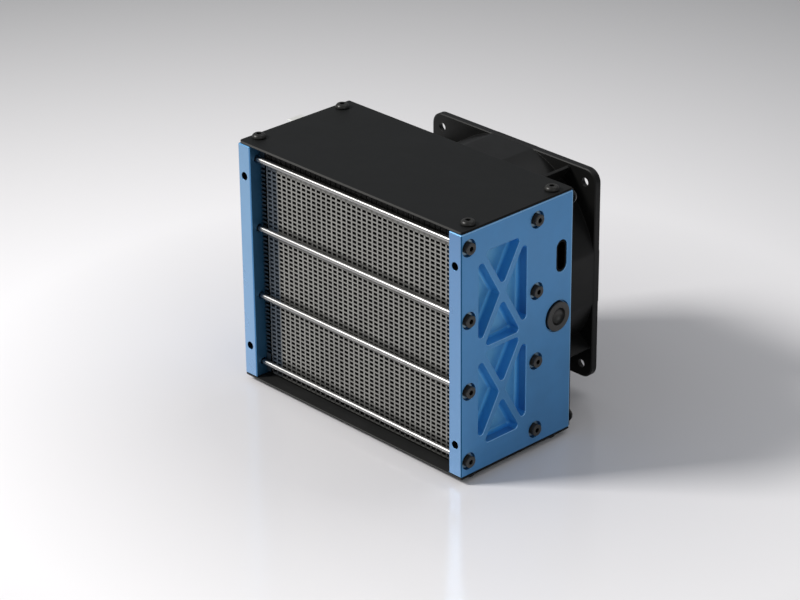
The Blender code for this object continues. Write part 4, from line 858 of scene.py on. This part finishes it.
def gas_ports():
    """Black port fittings with a rounded flange edge and a dished, closed end."""
    steps = 72
    top, flange, neck, round_edge = 2.0 * MM, 8.0 * MM, 6.0 * MM, 0.35 * MM
    lip, dish, dish_edge, deepest, dish_middle = 4.95 * MM, 4.75 * MM, 0.12 * MM, 3.4 * MM, 0.02 * MM
    for node, axis in (("right_gas_port", 1), ("left_gas_port", -1)):
        centre, low, high = centre_of(node)
        profile = [(neck, top - (high.x - low.x)), (neck, 0), (flange, 0), (flange, top - round_edge)]
        for turn in quarter(4, first=1):
            profile.append((flange - round_edge * (1 - math.cos(turn)),
                            top - round_edge * (1 - math.sin(turn))))
        profile += [(lip, top), (dish, top - dish_edge)]
        for k in range(1, 13):
            share = 1 - k / 12
            fall = deepest * math.sqrt(1 - share * share)
            profile.append((max(dish * share, dish_middle), top - dish_edge - fall))
        shape = bmesh.new()
        loft(shape, [level(circle(r, steps), z) for r, z in profile])
        mesh = to_mesh(shape, "mesh_" + node, 30)
        mesh.materials.append(PORT)
        face_x = high.x - top if axis > 0 else low.x + top
        place = Vector((face_x, centre.y, centre.z))
        stand_for(node, mesh, Matrix.Translation(place) @ facing((axis, 0, 0)))


# Fan; its own coordinates start at its near face, on its axis

def square_ring(shape, half, corner, bore, y0, y1, cut):
    """A flange: a square plate with round corners, chamfered edges and a round opening."""
    straight_steps, corner_steps = 32, 10
    straight = half - corner
    spans = [(half, -straight + 2 * straight * k / straight_steps) for k in range(straight_steps)]
    for turn in quarter(corner_steps)[:-1]:
        spans.append((straight + corner * math.cos(turn), straight + corner * math.sin(turn)))
    outer = []
    for side in range(4):
        c, s = math.cos(side * math.pi / 2), math.sin(side * math.pi / 2)
        outer += [(u * c - v * s, u * s + v * c) for u, v in spans]
    angles = [math.atan2(v, u) for u, v in outer]
    inner = [(bore * math.cos(angle), bore * math.sin(angle)) for angle in angles]
    shrink = 1 - cut / half
    small = [(u * shrink, v * shrink) for u, v in outer]
    rings = [(inner, y0), (small, y0), (outer, y0 + cut), (outer, y1 - cut), (small, y1), (inner, y1),
             (inner, y0)]
    loft(shape, [upright(ring, y) for ring, y in rings], close=False)


def fan_tube(shape, y0, y1):
    """The fan's round body, cut flat at its four sides, with a flared bore."""
    steps = 160
    bore, flare, mouth = 57.5 * MM, 1.2 * MM, 3.0 * MM
    outside, flat_side = 61.5 * MM, 59.8 * MM
    outer = []
    for k in range(steps):
        angle = 2 * math.pi * k / steps
        flat = flat_side / max(abs(math.cos(angle)), abs(math.sin(angle)))
        reach = min(outside, flat)
        outer.append((reach * math.cos(angle), reach * math.sin(angle)))
    funnel = [(circle(bore + flare * (1 - math.sin(turn)), steps), mouth * (1 - math.cos(turn)))
              for turn in quarter(6)]
    rings = [(ring, y0 + deep) for ring, deep in funnel] + [(ring, y1 - deep) for ring, deep in funnel[::-1]]
    rings += [(outer, y1), (outer, y0), rings[0]]
    loft(shape, [upright(ring, y) for ring, y in rings], close=False)


def tilted_block(shape, degrees, near, far, width, offset, y0, y1):
    """A bar that points away from the fan's axis."""
    angle = math.radians(degrees)
    along = Vector((math.cos(angle), math.sin(angle)))
    across = Vector((-along.y, along.x))
    corners = [along * reach + across * (offset + side * width / 2)
               for reach, side in ((near, -1), (far, -1), (far, 1), (near, 1))]
    loft(shape, [upright(corners, y) for y in (y0, y1)])


def motor_base(shape):
    """The round plate that the struts carry, with the bearing's tube towards the stack."""
    steps = 72
    base = FAN_DEPTH - 4 * MM
    tube, tube_bore, tube_end = 5.7 * MM, 4.3 * MM, base - 18 * MM
    plate, edge, wall, middle = 23.5 * MM, 0.6 * MM, 0.3 * MM, 0.1 * MM
    profile = [(tube, tube_end), (tube, base), (plate, base), (plate, FAN_DEPTH - edge),
               (plate - edge, FAN_DEPTH), (middle, FAN_DEPTH), (middle, base + wall),
               (tube_bore, base + wall), (tube_bore, tube_end), (tube, tube_end)]
    loft(shape, [upright(circle(r, steps), y) for r, y in profile], close=False)


def fan_frame():
    """The fan's housing with its flanges, corner webs, struts and motor base."""
    flange = 4.3 * MM
    far_flange = FAN_DEPTH - flange
    half, corner, opening, cut = 60 * MM, 7 * MM, 58.7 * MM, 0.5 * MM
    shape = bmesh.new()
    for y0, y1 in ((0, flange), (far_flange, FAN_DEPTH)):
        square_ring(shape, half, corner, opening, y0, y1, cut)
    fan_tube(shape, 0.0, FAN_DEPTH)
    web_angle, web_near, web_far, web = 54.5, 60 * MM, 71.5 * MM, 1.4 * MM
    strut_angle, strut_near, strut_far, strut, aside = 45, 12 * MM, 59 * MM, 5.0 * MM, 8.0 * MM
    web_ends = flange / 2, FAN_DEPTH - flange / 2
    strut_ends = FAN_DEPTH - 4 * MM, FAN_DEPTH - 0.3 * MM
    for k in range(4):
        tilted_block(shape, web_angle + 90 * k, web_near, web_far, web, 0, *web_ends)
        tilted_block(shape, strut_angle + 90 * k, strut_near, strut_far, strut, aside, *strut_ends)
    motor_base(shape)
    weld(shape)
    mesh = to_mesh(shape, "mesh_fan_frame", 32)
    mesh.materials.append(FAN)
    piece = link("fine_fan_frame", mesh)
    piece.location = FAN_PLACE
    hole, head, head_seat, apart, margin = 2.3 * MM, 4.2 * MM, 1.8 * MM, 52.5 * MM, 1 * MM
    near_hole = ((hole, -margin), (hole, flange + margin))
    far_hole = ((hole, far_flange - margin), (hole, far_flange + head_seat), (head, far_flange + head_seat),
                (head, FAN_DEPTH + margin))
    bores = bmesh.new()
    for across, up in ((-apart, -apart), (-apart, apart), (apart, -apart), (apart, apart)):
        for profile in (near_hole, far_hole):
            loft(bores, [[(u + across, y, v + up) for u, v in circle(r, 32)] for r, y in profile])
    cutter = link("cutter", to_mesh(bores, "cutter"))
    cutter.location = piece.location
    carve(piece, cutter, 32, crossing=True)
    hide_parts("fan_frame")
    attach(piece, "stack")


def blade(shape, start_angle, root, tip, front, span):
    """One swept blade that thins towards its tip and its edges."""
    chord_steps, radial_steps = 16, 10
    root_sweep, tip_sweep, twist_start = 0.86, 0.66, 0.65
    thickness, thinning, edge_share, fullness, clear = 2.0 * MM, 0.25, 0.25, 0.6, 1.1 * MM
    sections = []
    for i in range(radial_steps + 1):
        share = i / radial_steps
        radius = root + (tip - root) * share
        sweep = root_sweep + (tip_sweep - root_sweep) * share
        upper, lower = [], []
        for j in range(chord_steps + 1):
            s = j / chord_steps
            bulge = math.sin(math.pi * min(1.0, s * 1.05 + 0.04)) ** fullness
            thick = thickness * (1 - thinning * share) * (edge_share + (1 - edge_share) * bulge)
            angle = start_angle + sweep * s * (twist_start + (1 - twist_start) * s)
            y = front + clear + (span - 2 * clear) * s
            x, z = radius * math.cos(angle), radius * math.sin(angle)
            upper.append((x, y - thick / 2, z))
            lower.append((x, y + thick / 2, z))
        sections.append(upper + lower[::-1])
    loft(shape, sections)


def fan_impeller():
    """The hub and its seven swept blades."""
    blades = 7
    steps = 96
    hub, hub_front, hub_wall, edge = 23.5 * MM, 5.0 * MM, 2 * MM, 1.5 * MM
    end = FAN_DEPTH - 5.0 * MM
    sunk, tip, blade_inset = 1.0 * MM, 56.0 * MM, 1.5 * MM
    boss, boss_length = 3.8 * MM, 6 * MM
    disc, disc_edge, middle = 9.0 * MM, 8.6 * MM, 0.1 * MM
    disc_front = hub_front + 0.3 * MM
    inside = hub - hub_wall
    profile = [(boss, hub_front + boss_length), (boss, hub_front + hub_wall), (inside, hub_front + hub_wall),
               (inside, end), (hub, end)]
    for turn in quarter(6):
        profile.append((hub - edge * (1 - math.cos(turn)), hub_front + edge * (1 - math.sin(turn))))
    profile += [(disc, hub_front), (disc_edge, disc_front), (middle, disc_front)]
    shape = bmesh.new()
    loft(shape, [upright(circle(r, steps), y) for r, y in profile])
    front = hub_front + blade_inset
    for b in range(blades):
        blade(shape, 2 * math.pi * b / blades, hub - sunk, tip, front, end - blade_inset - front)
    mesh = to_mesh(shape, "mesh_fan_impeller", 40)
    mesh.materials.append(FAN)
    piece = link("fine_fan_impeller", mesh)
    piece.location = FAN_PLACE
    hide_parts("fan_impeller")
    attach(piece, "fan_rotor")


# Floor, light and camera

def floor():
    """A plain pale floor that falls away to a light grey round about."""
    half = 6.0
    corners = ((-half, -half, 0), (half, -half, 0), (half, half, 0), (-half, half, 0))
    shape = bmesh.new()
    shape.faces.new([shape.verts.new(p) for p in corners])
    mesh = bpy.data.meshes.new("floor")
    shape.to_mesh(mesh)
    shape.free()
    made, tree, shader = nodes_of("look_floor")
    coords = tree.nodes.new("ShaderNodeTexCoord")
    length = tree.nodes.new("ShaderNodeVectorMath")
    length.operation = "LENGTH"
    tree.links.new(coords.outputs["Object"], length.inputs[0])
    near = remap(tree, length.outputs["Value"], 0.0, 1.0, start=0.12, end=0.26)
    away = remap(tree, length.outputs["Value"], 0.0, 1.0, start=0.27, end=0.78)
    colour = blend_colours(tree, near, (0.73, 0.72, 0.735), (0.90, 0.89, 0.90))
    colour = blend_colours(tree, away, colour, (0.34, 0.34, 0.345))
    tree.links.new(colour, shader.inputs["Base Color"])
    shader.inputs["Roughness"].default_value = 0.16
    shader.inputs["Specular IOR Level"].default_value = 0.35
    mesh.materials.append(made)
    piece = link("floor", mesh)


def lamp(name, place, power, size, colour=(1.0, 1.0, 1.0)):
    """A square soft box turned to the part."""
    data = bpy.data.lights.new(name, "AREA")
    data.energy = power
    data.size = size
    data.color = colour
    piece = link(name, data)
    piece.location = place
    target = Vector((0.0, 0.0, 0.06))
    piece.rotation_euler = (target - Vector(place)).to_track_quat("-Z", "Y").to_euler()


def light():
    """Soft studio light: a key from the front left, a weaker fill from the right, and an even world."""
    lamp("key", (-0.85, -1.10, 1.25), power=33.0, size=0.42, colour=(1.0, 0.985, 0.965))
    lamp("fill", (1.6, -0.3, 0.9), power=3.5, size=1.2, colour=(0.96, 0.98, 1.0))
    lamp("top", (0.2, 0.9, 1.7), power=4.5, size=1.2)
    world = bpy.data.worlds.new("world")
    bpy.context.scene.world = world
    world.use_nodes = True
    back = world.node_tree.nodes["Background"]
    back.inputs["Color"].default_value = (0.86, 0.88, 0.92, 1.0)
    back.inputs["Strength"].default_value = 0.33


def camera():
    """The photograph's viewpoint, from the fit to its corners, bolts and fan."""
    azimuth, elevation, roll = math.radians(46.53), math.radians(25.83), math.radians(-0.55)
    distance, focal_pixels, picture_width, sensor = 1.519, 2893.96, 800.0, 36.0
    aimed_at = Vector((74.02, 45.0, 53.23)) * MM
    back = Vector((math.sin(azimuth) * math.cos(elevation), -math.cos(azimuth) * math.cos(elevation),
                   math.sin(elevation)))
    right = Vector((math.cos(azimuth), math.sin(azimuth), 0.0))
    up = back.cross(right)
    side = right * math.cos(roll) + up * math.sin(roll)
    top = up * math.cos(roll) - right * math.sin(roll)
    place = Vector((LEFT_X, PLATE_LOW.y, PLATE_LOW.z)) + aimed_at + back * distance
    data = bpy.data.cameras.new("camera")
    data.sensor_width = sensor
    data.lens = focal_pixels * sensor / picture_width
    data.clip_start = 0.05
    data.clip_end = 50.0
    piece = link("camera", data)
    turn = Matrix((side, top, back)).transposed()
    piece.matrix_world = Matrix.Translation(place) @ turn.to_4x4()
    bpy.context.scene.camera = piece


def main():
    camera()
    dress_solids()
    covers()
    rear_panel()
    end_plates()
    cells()
    button_screws()
    tie_bolts()
    gas_ports()
    fan_frame()
    fan_impeller()
    floor()
    light()
    bpy.context.scene.view_settings.view_transform = "Standard"


main()
